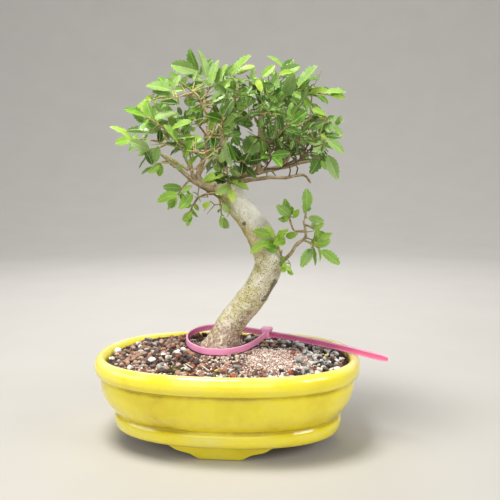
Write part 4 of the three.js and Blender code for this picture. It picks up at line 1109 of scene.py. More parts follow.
# Leaves seen in the photograph: base and tip in its picture, visible width (all in picture points),
# how yellow the green is and how much pale sky it reflects.
photoLeaves = {
    "crown_left": [
        (198, 71, 170, 62, 13.5, 0.5, 0.5), (207, 81, 200.5, 49, 9.5, 0.5, 0.8),
        (212, 86, 213, 59, 9, 0.5, 0.5), (215, 86, 225, 63, 7, 0.6, 0.5), (204, 80, 190, 76, 7, 0.4, 0.7),
        (172, 91, 147, 80, 11, 0.45, 0.4), (175, 96, 151, 91, 8.5, 0.45, 0.5),
        (173, 91, 185, 88, 5, 0.5, 0.2), (174, 89, 178, 74, 6, 0.5, 0.7), (181, 85, 186, 77, 6, 0.5, 0.5),
        (205, 84, 187, 85, 8, 0.2, 0.0), (179, 104, 162, 102, 6, 0.15, 0.0),
        (150, 123, 146.5, 97, 8, 0.6, 0.0), (144, 111, 136, 106, 7, 0.95, 0.0),
        (145, 117, 125, 105, 9, 0.4, 0.0), (151, 132, 127, 125, 9, 0.2, 0.0), (154, 97, 144, 98, 4, 0.9, 0.0),
        (134, 141, 110.5, 124, 4.5, 0.75, 0.1), (150, 151, 133.5, 140.5, 13, 0.4, 0.8),
        (153, 166, 147, 150, 8, 0.25, 0.0), (155, 163, 157.5, 147, 8, 0.4, 0.5),
        (160, 164, 150, 174, 7, 0.6, 0.1), (154, 131, 164, 120, 6, 0.25, 0.1),
        (159, 143, 160.5, 129, 6, 0.1, 0.0), (151, 120, 175, 110.5, 6, 0.5, 0.6),
        (178, 144, 166.5, 123, 7.5, 0.6, 0.2), (194, 121, 171.5, 128, 6.5, 0.6, 0.1),
        (196, 137, 177, 136, 3.5, 0.7, 0.1), (204, 138, 182, 142, 8, 0.65, 0.1),
        (193, 139, 182, 155, 8, 0.5, 0.0), (198, 100, 183.5, 104, 9, 0.4, 0.1),
        (202, 86, 200.5, 98, 3.5, 0.5, 0.6), (214, 90, 225, 83, 8, 0.5, 0.2),
        (210, 103, 225, 90, 8, 0.45, 0.5), (213, 104, 226, 96, 7, 0.25, 0.1),
        (209.5, 130, 213.5, 121, 5, 0.65, 0.0), (214, 148, 217, 134, 10, 0.15, 0.0),
        (188, 165, 195, 155, 6, 0.65, 0.0), (190, 112, 200, 106, 6, 0.5, 0.1),
        (193, 108, 186, 114, 5, 0.45, 0.1), (188, 118, 198, 115, 5.5, 0.6, 0.2),
        (203, 108, 195, 112, 5, 0.5, 0.0), (178, 170, 183, 164, 4, 0.5, 0.2),
        (184, 132, 190, 126, 5, 0.35, 0.0), (196, 127, 190, 131, 4.5, 0.7, 0.1),
        (203, 124, 210, 114, 6, 0.35, 0.1), (218, 113, 213, 106, 6, 0.2, 0.0),
        (206, 142, 196, 148, 6, 0.4, 0.0),
    ],
    "crown_right": [
        (231, 77, 250.5, 54.5, 6, 0.55, 0.3), (235, 76, 254, 64, 6, 0.75, 0.2),
        (224, 76, 234, 67, 7, 0.45, 0.3), (217, 87, 239, 82, 7, 0.7, 0.2), (216, 99, 234, 90, 8, 0.4, 0.3),
        (217, 104, 234, 93, 8, 0.3, 0.1), (249, 88, 256, 68, 8, 0.45, 0.8),
        (262, 93, 254.5, 76.5, 7.5, 0.95, 0.0), (261, 78, 275, 65, 8, 0.55, 0.0),
        (268, 76, 276, 71, 6, 0.5, 0.8), (283, 68, 269, 53.5, 4.5, 0.5, 0.2),
        (284, 68, 296, 62, 3.5, 0.5, 0.3), (279, 73, 300, 65, 10, 0.35, 0.5),
        (278, 75, 293, 71, 5, 0.65, 0.0), (286, 97, 292, 75, 15, 0.3, 0.6), (279, 77, 268, 91, 10, 0.35, 0.3),
        (297, 89, 317, 65.5, 7, 0.35, 0.4), (300, 90, 309, 81, 7, 0.4, 0.0), (309, 93, 327, 86, 6, 0.6, 0.0),
        (322, 94, 346, 91, 4.5, 0.5, 0.2), (328, 95, 346, 97, 4.5, 0.9, 0.0),
        (300, 95, 311, 107, 8, 0.6, 0.0), (310, 109, 327, 113, 6, 0.6, 0.0),
        (285, 119, 284, 108, 7, 0.3, 0.9), (283, 125, 273, 110, 6.5, 0.4, 0.1),
        (285, 122, 298, 127, 7, 0.35, 0.8), (281, 128, 295, 134, 8, 0.25, 0.2),
        (268, 138, 281, 133, 7, 0.2, 0.4), (246, 158, 257, 128, 21, 0.35, 0.45),
        (219, 134, 236.5, 114, 13, 0.5, 0.3), (228, 135, 242, 134, 7, 0.4, 0.1),
        (235, 110, 250, 102, 8, 0.5, 0.1), (232, 112, 223, 110, 6, 0.4, 0.7), (244, 97, 257, 92, 6, 0.4, 0.5),
        (265, 96, 277, 101, 6, 0.4, 0.3), (264, 103, 273, 108, 6, 0.3, 0.2),
        (263, 117, 261, 128, 6, 0.4, 0.3), (268, 125, 272, 137, 6, 0.15, 0.0),
        (233, 168, 223, 141, 6.5, 0.35, 0.95), (237, 162, 227, 142, 8, 0.3, 0.0),
        (245, 162, 260.5, 155, 8, 0.35, 0.4), (293, 116, 302, 125, 5, 0.3, 0.6),
        (310, 129, 322, 123, 8, 0.25, 0.3), (327, 119, 334, 116, 5, 0.4, 0.6),
        (336, 126, 340, 116, 6, 0.45, 0.3), (328, 124, 343, 135, 7, 0.35, 0.5),
        (325, 125, 330, 131, 5, 0.3, 0.4), (320, 134, 327, 139, 4, 0.8, 0.0),
        (327, 141, 315, 151, 11, 0.35, 0.5), (325, 139, 345, 150.5, 9, 0.35, 0.5),
        (304, 138, 317, 145, 6, 0.4, 0.3), (327, 155, 339, 176, 12, 0.35, 0.7),
        (321, 160, 326, 169, 5, 0.5, 0.1), (310, 153, 316, 159, 5, 0.25, 0.1),
        (241, 125, 247, 117, 6, 0.2, 0.0), (252, 108, 262, 104, 6, 0.2, 0.0),
        (270, 120, 264, 112, 6, 0.15, 0.0), (298, 130, 306, 136, 6, 0.3, 0.2),
        (288, 113, 296, 108, 6, 0.3, 0.1), (275, 86, 262, 84, 6, 0.3, 0.2), (300, 102, 291, 100, 6, 0.4, 0.2),
        (243, 110, 247, 120, 6, 0.25, 0.0), (253, 126, 243, 122, 7, 0.2, 0.1),
        (298, 118, 308, 121, 5, 0.3, 0.3), (317, 131, 311, 139, 6, 0.3, 0.2),
        (222, 160, 217, 153, 6, 0.75, 0.1), (268, 105, 258, 112, 6, 0.2, 0.0),
        (283, 103, 275, 97, 6, 0.35, 0.2), (240, 146, 233, 137, 7, 0.2, 0.0),
        (221, 163, 224, 153, 7, 0.4, 0.6), (256, 103, 247, 96, 7, 0.3, 0.1), (293, 92, 302, 97, 6, 0.45, 0.1),
    ],
    "crown_foot": [
        (180, 195, 155.5, 196.5, 9.5, 0.5, 0.0), (178.5, 198, 166, 207, 9, 0.5, 0.1),
        (193, 192, 181, 210, 10.5, 0.45, 0.1), (181, 194, 191, 184, 5, 0.6, 0.3),
        (211, 202, 201.5, 208.5, 6, 0.8, 0.0), (193, 211, 181.5, 223, 8, 0.45, 0.1),
        (192, 214, 188, 227, 5, 0.45, 0.0), (224, 216, 223.5, 230, 10, 0.4, 0.4),
        (228, 213, 223, 206, 6, 0.4, 0.9), (226, 175, 201, 177, 9, 0.6, 0.0),
        (228, 171, 241, 170.5, 7, 0.6, 0.0), (230, 181, 248.5, 189.5, 6.5, 0.65, 0.1),
        (231, 184, 218, 195, 9, 0.6, 0.4), (231, 189, 232, 201.5, 8, 0.75, 0.1),
        (222, 170, 212, 167, 6, 0.3, 0.0), (217, 176, 207, 183, 6, 0.5, 0.2),
    ],
    "side_branch": [
        (275, 235.5, 253, 232.5, 10, 0.55, 0.0), (270, 241, 249, 251.5, 9, 0.65, 0.1),
        (285.5, 239, 274.5, 245, 10, 0.55, 0.0), (285.5, 237, 296, 233.5, 7, 0.55, 0.0),
        (290, 216, 278.5, 206, 10, 0.4, 0.4), (290.5, 219, 280, 219.5, 5.5, 0.55, 0.0),
        (293.5, 218, 298, 210, 6, 0.55, 0.0), (320, 239, 330, 233, 7, 0.6, 0.2),
        (314, 241, 321, 249, 4.5, 0.85, 0.0), (318, 239.5, 318, 229, 6, 0.5, 0.1),
        (313, 229, 313, 221.5, 5, 0.4, 0.9), (286, 263, 283, 267, 4.5, 0.7, 0.0),
        (286, 266, 289.5, 271, 5, 0.6, 0.1), (285.5, 266, 283.5, 273, 6, 0.65, 0.0),
        (312, 248, 301, 264, 11, 0.4, 0.35), (307, 218, 324, 219.5, 8, 0.45, 0.5),
    ],
}

# Bare twigs seen in the photograph: points of its picture from the wood outwards, and the radius in mm.
photoTwigs = [
    ([(207, 118), (200.5, 100), (191, 90), (179, 80.5)], 0.65),
    ([(192, 93), (177, 97), (163, 100), (146, 101)], 0.6),
    ([(193, 172), (183, 166), (173, 159), (160, 153)], 0.6), ([(174, 160), (170, 163), (155, 162.5)], 0.5),
    ([(176, 147), (162, 144), (150, 145)], 0.5), ([(203, 153.5), (194, 151.5), (186.5, 150.5)], 0.65),
    ([(195, 168), (207, 158), (220.5, 147.5)], 0.7), ([(201.5, 173), (209, 161), (218, 152.5)], 0.65),
    ([(233, 106), (237, 93), (242, 79.5)], 0.8), ([(239, 119.5), (254, 115), (268.5, 114), (277, 117)], 0.7),
    ([(313, 87.5), (322, 70)], 0.4), ([(310.5, 74.5), (318, 74.5)], 0.35),
    ([(296, 92), (310, 93.5), (326, 96)], 0.5), ([(211, 137), (219, 118), (228, 108)], 0.6),
    ([(208, 197), (194.5, 197)], 0.5), ([(199, 187), (198, 195), (200.5, 201.5)], 0.5),
    ([(221.5, 197), (229, 205), (237, 214.5)], 0.45), ([(214.5, 205), (207, 214)], 0.45),
    ([(210.5, 201.5), (204, 211)], 0.4), ([(230, 212), (227, 217)], 0.5), ([(282, 250), (281.5, 261)], 0.4),
    ([(287, 259), (290, 263.5), (290.5, 269)], 0.4), ([(295, 230.5), (304, 230.5)], 0.4),
    ([(306.5, 232), (314, 231)], 0.45), ([(304, 240), (309, 242), (311.5, 248)], 0.45),
    ([(305, 237.5), (313, 240.5), (320, 250)], 0.55), ([(277, 141), (292, 140), (301, 143)], 0.5),
    ([(281, 143), (292, 151), (296, 160)], 0.5), ([(292, 141), (300, 149), (309, 157)], 0.5),
    ([(303, 149), (313, 151), (323, 153)], 0.45), ([(291, 156), (300, 153), (291, 147)], 0.5),
    ([(279, 169), (292, 164), (303, 160), (323, 158.5)], 0.6), ([(268, 148), (277, 152), (279, 160)], 0.5),
    ([(262, 142), (270, 147), (280, 141)], 0.5), ([(309, 118), (313, 114), (326, 117)], 0.5),
    ([(298, 105), (304, 114)], 0.4), ([(290, 110), (300, 114), (309, 115)], 0.4),
    ([(297, 127), (309, 119), (313, 114)], 0.6), ([(222, 119), (230, 121), (238, 119)], 0.5),
    ([(264, 170), (270, 161), (275, 152)], 0.7),
]


# Point of the real object on the line of sight through a place of the picture, at a given depth.
def onPicture(across, down, depth):
    place = np.array(viewpoint["place"])
    ahead = unit(np.array(viewpoint["towards"], float))
    right = unit(np.cross(ahead, (0, 0, 1)))
    upward = np.cross(right, ahead)
    half, middle = 0.5 * viewpoint["sensor"] / viewpoint["lens"], 0.5 * viewpoint["picture"]
    sight = ahead + right * (across - middle) / middle * half + upward * (middle - down) / middle * half
    return place + sight * (depth - place[1]) / sight[1]


# The crown bulges to the front: its middle and its reaches (sideways, up, down) in picture points, and
# the depth of its rim, of the bulge and of the stray in mm.
crownFront = {
    "middle": (232, 122),
    "reach": (112, 62, 80),
    "rim": -6,
    "bulge": 26,
    "stray": 5,
    "lowRim": -11,
    "lowStray": 7,
}


# Depth at which a leaf of the photograph hangs.
def leafDepth(region, across, down, draw):
    if region in ("side_branch", "crown_foot"):
        return crownFront["lowRim"] - crownFront["lowStray"] * draw()
    sideways, up, low = crownFront["reach"]
    middleAcross, middleDown = crownFront["middle"]
    drop = down - middleDown
    spread = ((across - middleAcross) / sideways) ** 2 + (drop / (low if drop > 0 else up)) ** 2
    return crownFront["rim"] - crownFront["bulge"] * math.sqrt(max(0,
        1 - spread)) - crownFront["stray"] * draw()


# A thin stalk from the nearest wood to a leaf, bowed a little upwards.
def stalkTo(base, woodSpots, radius):
    start = woodSpots[np.argmin(np.linalg.norm(woodSpots - base, axis=1))]
    bend = (start + base) / 2 + np.array((0, 0, 0.1 * math.dist(start, base)))
    count = max(3, math.ceil(math.dist(start, base) / 2.5))
    spots = [twigPoint((start, bend, base), i / count) for i in range(count + 1)]
    return spots, [radius * (1.25 - 0.35 * i / count) for i in range(count + 1)]


# A leaf that shows the given length and width to the camera, turned or tipped as far as that needs.
def leafFromPhoto(region, row, draw):
    baseAcross, baseDown, tipAcross, tipDown, width, tone, chalk = row
    depth = leafDepth(region, baseAcross, baseDown, draw)
    base, tip = onPicture(baseAcross, baseDown, depth), onPicture(tipAcross, tipDown, depth)
    shown, wide = math.dist(base, tip), width * math.dist(base, tip) / math.hypot(tipAcross - baseAcross,
        tipDown - baseDown)
    natural = crownSizes["leafShare"]
    length = max(shown, min(wide / natural, 1.5 * shown))
    towards = unit(np.array(viewpoint["place"]) - base)
    tipping = math.acos(min(1, shown / length)) * (1 if draw() < 0.7 else -1)
    along = unit(tip - base)
    along = along * math.cos(tipping) + towards * math.sin(tipping)
    turning = math.acos(min(1, wide / (natural * length))) * (1 if draw() < 0.5 else -1)
    facing = unit(towards - along * float(towards.dot(along)))
    side = np.cross(facing, along)
    normal = facing * math.cos(turning) + side * math.sin(turning)
    if normal[2] < -0.3:
        normal = facing * math.cos(turning) - side * math.sin(turning)
    # Painted light on the leaves, strongest at the foot of the crown and on the side branch.
    tone += leafShape["regionLight"][region]
    return {"base": base, "along": along, "normal": normal, "across": np.cross(normal, along),
        "length": length, "half": 0.5 * max(natural, min(0.6, wide / length)), "tone": tone,
        "chalk": leafShape["skySheenStrength"] * chalk}


# Small leaves that fill the crown: short side twigs off its branches, each with two or three leaves.
def fillingShoots(woodSpots, taken, draw):
    centre = np.array(crownSizes["centre"], float)
    paths, blades = [], []
    inCrown = [spot for spot in woodSpots if math.dist(spot, centre) < crownSizes["fillReach"]
        and spot[1] < crownSizes["fillBack"] and spot[2] < crownSizes["fillRoots"]
        and (spot[2] > 208 if spot[1] > 12 else spot[2] > 222 and spot[0] > 4)]
    for spot in inCrown[::2]:
        for attempt in range(6):
            drift = np.array((draw() - 0.5, draw() - 0.5, draw() - 0.35))
            heading = unit(unit(spot - centre + 1e-3) * 0.6 + drift * 1.6)
            tip = spot + heading * (5 + 8 * draw())
            reach = 7 + 5 * draw()
            middle = tip + heading * reach * 0.6
            nearest = np.linalg.norm(taken - middle, axis=1).min()
            if middle[2] > crownSizes["fillTop"] or nearest < crownSizes["fillGap"]:
                continue
            paths.append(([spot, (spot + tip) / 2 + drift, tip], [0.5, 0.42, 0.36]))
            side = unit(np.cross(heading, drift))
            for turn, spread in ((0, 0), (1, 55), (-1, 55)):
                angle = math.radians(spread + 16 * draw())
                along = unit(heading * math.cos(angle) + side * turn * math.sin(angle))
                facing = unit(np.array((0, 0, 1)) + unit(middle - centre) * 0.9 + drift)
                normal = unit(facing - along * float(facing.dot(along)))
                base = tip if turn == 0 else (spot + tip) / 2 + drift * 0.6 + heading * 1.5 * (turn + 1)
                # Painted shade: the tone of the filling leaves is scaled down by fillShadeFactor.
                blades.append({"base": base, "along": along, "normal": normal,
                    "across": np.cross(normal, along), "length": reach * (1 if turn == 0 else 0.82),
                    "tone": crownSizes["fillShadeFactor"] * leafTone(base, draw), "chalk": 0.2 * draw()})
                taken = np.vstack((taken, [base + along * reach * share for share in (0.3, 0.7)]))
            break
    return paths, blades


# Bare twigs that kink and cross low on the right of the crown.
def tangledTwigs(woodSpots, draw):
    left, right = crownSizes["tangledAcross"]
    low, high = crownSizes["tangledUp"]
    roots = [spot for spot in woodSpots if left < spot[0] < right and low < spot[2] < high
        and spot[1] < crownSizes["back"]]
    paths = []
    for _ in range(crownSizes["tangled"]):
        spot = roots[int(draw() * len(roots))]
        heading = unit(np.array((draw() - 0.3, draw() - 0.6, 1.1 * draw() - 0.05)))
        spots = [spot]
        for step in range(3):
            spots.append(spots[-1] + heading * (3.2 + 3.5 * draw()))
            heading = unit(heading + 1.3 * np.array((draw() - 0.5, draw() - 0.5, draw() - 0.5)))
        paths.append((spots, [0.62, 0.5, 0.42, 0.3]))
    return paths


def buildCrown():
    twigs = growTwigs()
    shoots = growBlades(twigs)
    sizes = {"Leaf pattern": leafTemplate(), "Twig sides": 8, "Edge wave": 0.25 * mm, "Leaf": leafMaterial(),
        "Twig": twigMaterial()}
    tree = shootTree(sizes)
    woodSpots = list(woodPlaces()[0])
    taken = []

    def addPiece(name, paths, blades, draw, *nodes):
        piece = shootObject(name, paths, blades, draw)
        finishPiece(grown(piece, tree, sizes), "leaf", *nodes)
        for blade in blades:
            taken.extend(bladePoint(blade, along, 0) for along in (0.3, 0.6, 0.9))

    thickStart, thickEnd = crownSizes["twigRadii"]
    for index, (twig, blades) in enumerate(zip(twigs, shoots)):
        draw = random.Random(700 + index).random
        for blade in blades:
            blade["tone"] = leafTone(blade["base"], draw)
        spots = [twigPoint(twig, i / 10) for i in range(11)]
        thick = [(thickStart + (thickEnd - thickStart) * i / 10) * (1 + 0.12 * draw()) for i in range(11)]
        label = f"{index + 1:02d}"
        addPiece("leafy_shoot_" + label, [(spots, thick)], blades, draw, "shoot_" + label)
        woodSpots += spots[2:]
    draw = random.Random(41).random
    bare = []
    for places, radius in photoTwigs:
        # The thin ones hang behind the outer leaves, the thick ones cross in front of them.
        depth = leafDepth("crown_foot" if places[0][1] > 180 else "crown", *places[0], draw)
        depth += crownSizes["thinTwigBack" if radius < crownSizes["thinTwig"] else "thickTwigBack"]
        spots = [onPicture(*place, depth - 3 * i) for i, place in enumerate(places)]
        path = smoothRows(spots, 5) if len(spots) > 2 else np.array(spots)
        root, thick = stalkTo(path[0], np.array(woodSpots), radius)
        bare.append((root[:-1] + list(path), thick[:-1] + list(np.linspace(radius, 0.6 * radius, len(path)))))
        woodSpots += list(path)
    bare += tangledTwigs(woodSpots, random.Random(19).random)
    addPiece("bare_twigs", bare, [], draw)
    for region, rows in photoLeaves.items():
        blades = [leafFromPhoto(region, row, draw) for row in rows]
        paths = [stalkTo(blade["base"], np.array(woodSpots), crownSizes["stalkRadius"]) for blade in blades]
        addPiece("leaves_" + region, paths, blades, draw)
    paths, blades = fillingShoots(np.array(woodSpots), np.array(taken), random.Random(77).random)
    addPiece("filling_leaves", paths, blades, draw)


# Soil: a bed that fills the pot, with its stones scattered over the top by size and kind.
soilSizes = {
    "edge": (90.2, 63.4, 62.4),
    "waist": (81.6, 54.6, 33),
    "floor": (71.6, 44.6, 19.3),
    "rise": 7,
    "backRise": 2.2,
    "sunk": 1.5,
    "rings": 60,
    "around": 240,
    "strapRoom": 6,
    "strapSeat": 2.9,
    "dust": 0.9,
}

# Centre line of the strap, from the head round the trunk, back through the head and over the rim.
strapSizes = {
    "line": [
        (26.2, 36.4, 71.8), (23.9, 29, 71), (18.8, 11, 70.6), (12, -5, 70.5), (4.6, -13, 70.5),
        (-3, -16, 70.4), (-14, -14, 70.2), (-25.5, -3.5, 70.2), (-33, 10, 70.8), (-35.4, 26, 72.2),
        (-32, 38, 73.4), (-26, 44, 74.4), (-17.6, 47.4, 75), (-3.8, 46.6, 75), (9.4, 43.2, 74.2),
        (20, 41.2, 73.2), (27.4, 39.6, 72.4), (33, 37.4, 72), (55.6, 25.6, 71.3), (77.4, 12.4, 70.5),
        (97, -2.6, 69.8), (118, -20.6, 69.2),
    ],
    "perSpan": 12,
    # Section: towards the toothed side, and upwards.
    "section": [(-0.65, -2.05), (-0.5, -2.4), (0.5, -2.4), (0.65, -2.25), (0.65, -1.46), (0.28, -1.34),
                (0.28, 1.34), (0.65, 1.46), (0.65, 2.25), (0.5, 2.4), (-0.5, 2.4), (-0.65, 2.05)],
    "toothPitch": 2.4,
    "tooth": (1.7, 0.4, 2.6),
    "toothSlant": 1.1,
    "tipShare": 0.6,
    "rack": (14, 20),
    "head": (6.6, 8.6, 9.2),
    "headCentre": (27.4, 39.2, 73.0),
    "headTurn": -17,
    "slot": (2.0, 5.5),
}
strapPath = smoothRows(strapSizes["line"], strapSizes["perSpan"])


def moundHeight(x, y):
    power = potSizes["squareness"]
    length, width, edge = soilSizes["edge"]
    share = (abs(x / length) ** power + abs(y / width) ** power) ** (1 / power)
    back = soilSizes["backRise"] * smoothStep(y, 20, 56)
    return edge + back + soilSizes["rise"] * math.cos(math.pi / 2 * min(share, 1)) ** 0.8


def bedHeight(x, y):
    height = moundHeight(x, y) - soilSizes["sunk"]
    height += 0.9 * noise.noise(Vector((x / 9, y / 9, 3))) + 0.5 * noise.noise(Vector((x / 3.4, y / 3.4, 7)))
    away = np.hypot(strapPath[:, 0] - x, strapPath[:, 1] - y)
    if away.min() < soilSizes["strapRoom"]:
        height = min(height, float(strapPath[away.argmin(), 2]) - soilSizes["strapSeat"])
    return height


# Shares of each kind of stone at a place of the soil's top, as the photograph shows them.
def stoneShares(x, y):
    fromTrunk = math.hypot(x + 6, y - 5)
    drift = 9 * noise.noise(Vector((x / 14, y / 14, 11)))
    right = smoothStep(x + drift, 22, 44)
    inLoop = 1 - smoothStep(math.hypot((x + 4) / 30, (y - 16) / 30), 0.75, 1.0)
    mound = 1 - smoothStep(math.hypot((x - 38) / 30, (y + 14) / 38), 0.6, 1.02)
    front = smoothStep(-y + drift, 30, 42) * (1 - mound)
    strap = float(np.hypot(strapPath[:, 0] - x, strapPath[:, 1] - y).min())
    free = smoothStep(strap, 2.2, 3.2) * smoothStep(fromTrunk, 12.5, 14.5)
    left = (1 - right) * (1 - inLoop) * (1 - mound)
    # In front of the tie the pebbles give way to crumbs.
    crumbly = left * smoothStep(x + drift, -26, -8) * smoothStep(-y, -12, 4)
    bareEarth = 0.35 * left * (1 - smoothStep(math.hypot(x + 22, y + 24), 14, 26))
    return {
        "pebbles": free * max(left - 0.85 * crumbly, 0) * (1 - 0.55 * front),
        "crushed": free * max(right * (1 - mound), 0.05 * left),
        "grit": smoothStep(strap, 1.2, 1.8) * max(mound, 0.75 * front, 0.2 * left, 0.6 * inLoop,
            0.8 * crumbly),
        "chips": free * max(front, 0.12 * right),
        "clods": free * max(inLoop * (1 - right), 0.6 * crumbly, bareEarth),
    }


# Kinds of stone: nearest distance, size range, how flat, rounded or broken, how dark the painted shade under
# them is, and colours by share.
stoneKinds = {
    "pebbles": {"apart": 4.1, "size": (3.6, 5.8), "flat": 0.76, "round": True, "seed": 3, "underShade": 0.9,
        "tints": [
            (0.0, "#5A3E33"), (0.15, "#8C6A56"), (0.32, "#AC8872"), (0.46, "#76605C"), (0.6, "#C0A08C"),
            (0.72, "#382B28"), (0.86, "#A87458"), (0.89, "#B4ACA2"), (0.98, "#F2ECE2")]},
    "crushed": {"apart": 3.7, "size": (3.8, 7.6), "flat": 0.66, "round": False, "seed": 5, "underShade": 0.86,
        "tints": [
            (0.0, "#4A4542"), (0.12, "#E4E0D6"), (0.26, "#A8A39E"), (0.4, "#8C5A48"), (0.48, "#EFEADF"),
            (0.6, "#7E685E"), (0.68, "#C2C0BC"), (0.79, "#2A2726"), (0.9, "#E2D6BA"), (0.95, "#FAF8F2")]},
    "chips": {"apart": 2.6, "size": (2.2, 5.0), "flat": 0.55, "round": False, "seed": 8, "underShade": 0.8,
        "tints": [
            (0.0, "#8A4E3C"), (0.18, "#AE705C"), (0.32, "#684236"), (0.46, "#D2B8AA"), (0.64, "#383028"),
            (0.76, "#B0644A"), (0.84, "#EDE6DA")]},
    "grit": {"apart": 1.25, "size": (1.2, 2.5), "flat": 0.8, "round": False, "seed": 11, "underShade": 0.4,
        "tints": [
            (0.0, "#EBD8CB"), (0.24, "#D0AF9F"), (0.44, "#F8F0E6"), (0.6, "#B48474"), (0.7, "#E0CFC2"),
            (0.88, "#5E4A42"), (0.93, "#FCF9F3")]},
    "clods": {"apart": 3.0, "size": (2.4, 5.6), "flat": 0.8, "round": False, "seed": 13, "underShade": 0.82,
        "tints": [
            (0.0, "#35271D"), (0.26, "#5C4636"), (0.5, "#8A6E5A"), (0.7, "#B09682"), (0.9, "#D2BEAA")]},
}

# Single stones that stand out in the photograph: kind, size in mm, and places in its picture.
markedStones = [
    ("quartz", 7.6, [(118, 353), (169, 360), (138, 346), (152, 362)]),
    ("quartz", 5.6, [(177, 354), (163, 357), (130, 369), (187, 370), (112, 360), (249, 339), (271, 343)]),
    ("limestone", 6.6, [(297, 345), (301, 347), (305, 352), (336, 356), (304, 370), (320, 371), (311, 345)]),
    ("slate", 7.2, [(283, 344), (327, 366), (237, 369), (299, 362), (148, 342), (318, 350)]),
    ("basalt", 5.2, [(124, 345), (162, 371), (331, 367), (256, 375), (322, 352), (291, 346), (128, 349)]),
    ("brick", 5.6, [(314, 370), (293, 354), (178, 358), (193, 368), (291, 374), (233, 378), (173, 348),
        (224, 373)]),
    ("rust", 3.8, [(186, 375), (193, 375), (156, 373), (264, 372), (202, 377), (139, 360), (182, 340)]),
    ("sulphur", 4.4, [(326, 357), (263, 343), (216, 372)]),
    ("loam", 7.0, [(198, 337), (204.5, 336.6), (192, 337.6), (211, 336.6)]),
]
markedTints = {
    "quartz": [(0.0, "#F6F2EA"), (0.6, "#E9E4D8")],
    "limestone": [(0.0, "#E6E0D0"), (0.5, "#D4D2CC")],
    "slate": [(0.0, "#A6ABAE"), (0.5, "#98958F")],
    "basalt": [(0.0, "#3A3432"), (0.5, "#524842")],
    "brick": [(0.0, "#B0583E"), (0.5, "#A3654E")],
    "rust": [(0.0, "#BC7850"), (0.6, "#AC6444")],
    "sulphur": [(0.0, "#E4CE3C"), (0.6, "#DCC862")],
    "loam": [(0.0, "#7A5238"), (0.5, "#5C4030")],
}
straws = {"at": [[(184, 367), (190, 372)], [(186, 366), (193, 370)], [(202, 368), (209, 373)],
                 [(246, 366), (251, 362)], [(181, 371), (186, 369)]], "radius": 0.45}
moss = {"at": (178, 369), "reach": 6.5}


def stoneMaterial(name, tints, underShadeStrength=0.82):
    # Crushed stone: dusty and matt, speckled by its crystals, each stone in one of its kind's colours.
    material, add, shader, where = newMaterial(name)
    tone = add("Attribute", attribute_name="tone")
    ramp = add("ValToRGB", {"Fac": tone}, stops=tints)
    ramp.color_ramp.interpolation = "CONSTANT"
    crystal = add("TexNoise", {"Vector": where, "Scale": 1 / (0.9 * mm), "Detail": 5.0})
    shade = add("MapRange", {"Value": crystal, "From Min": 0.3, "From Max": 0.7, "To Min": 0.62,
        "To Max": 1.25})
    dusted = add("VectorMath", {0: ramp, "Scale": shade}, operation="SCALE")
    # Painted shade: each stone is darker towards its underside.
    low = add("Attribute", attribute_name="low")
    underShade = add("MapRange", {"Value": low, "From Min": 0.3, "From Max": 0.85, "To Max": underShadeStrength})
    colour = add("Mix", {0: underShade, 6: dusted, 7: "#1E140E"}, data_type="RGBA")
    bump = add("Bump", {"Height": crystal, "Strength": 0.5, "Distance": 0.3 * mm})
    rough = add("MapRange", {"Value": crystal, "To Min": 0.55, "To Max": 0.9})
    feed(shader, {"Base Color": colour, "Normal": bump, "Roughness": rough})
    return material


def earthMaterial():
    # Fine moist soil between the stones: dark brown crumbs, darkened further as painted shade between the
    # stones.
    material, add, shader, where = newMaterial("fine_dark_soil")
    crumb = add("TexNoise", {"Vector": where, "Scale": 1 / (1.1 * mm), "Detail": 6.0})
    ramp = add("ValToRGB", {"Fac": crumb}, stops=[(0.3, "#140D09"), (0.5, "#2A1D15"), (0.66, "#4C382C"),
        (0.8, "#806858")])
    # Under the heap of grit it is mostly stone dust.
    dust = add("Attribute", attribute_name="dust")
    dustAndSheen = add("Math", [dust, crumb], operation="MULTIPLY")
    ramp = add("Mix", {0: dustAndSheen, 6: ramp, 7: "#C8A898"}, data_type="RGBA")
    bump = add("Bump", {"Height": crumb, "Strength": 0.8, "Distance": 0.6 * mm})
    feed(shader, {"Base Color": ramp, "Normal": bump, "Roughness": 0.95})
    return material


def stonePatterns(name, isRound, flat, seed):
    group = bpy.data.collections.new(name)
    draw = random.Random(seed).random
    for number in range(6):
        form = bmesh.new()
        corners = 22 if isRound else 11
        for corner in range(corners):
            if isRound:
                # Corners spread evenly over a ball, on a spiral.
                turn, rise = 2.4 * corner, 1 - (2 * corner + 1) / corners
                wide = math.sqrt(1 - rise ** 2)
                way = Vector((wide * math.cos(turn), wide * math.sin(turn), rise)) * (0.46 + 0.08 * draw())
            else:
                way = Vector((draw() - 0.5, draw() - 0.5, draw() - 0.5)).normalized() * (0.42 + 0.16 * draw())
            form.verts.new(way)
        hull = bmesh.ops.convex_hull(form, input=form.verts)
        bmesh.ops.delete(form, geom=hull["geom_interior"], context="VERTS")
        for point in form.verts:
            point.co.z *= flat
            point.co.y *= 0.8
        bmesh.ops.recalc_face_normals(form, faces=form.faces)
        for face in form.faces:
            face.smooth = isRound
        mesh = bpy.data.meshes.new(f"{name}_{number}")
        form.to_mesh(mesh)
        form.free()
        # Painted shade: low runs from 1 at a stone's bottom to 0 at its top.
        lows = [min(max(0.5 - 1.2 * point.co.z / flat, 0), 1) for point in mesh.vertices]
        setAttribute(mesh, "low", lows)
        group.objects.link(bpy.data.objects.new(mesh.name, mesh))
    return group


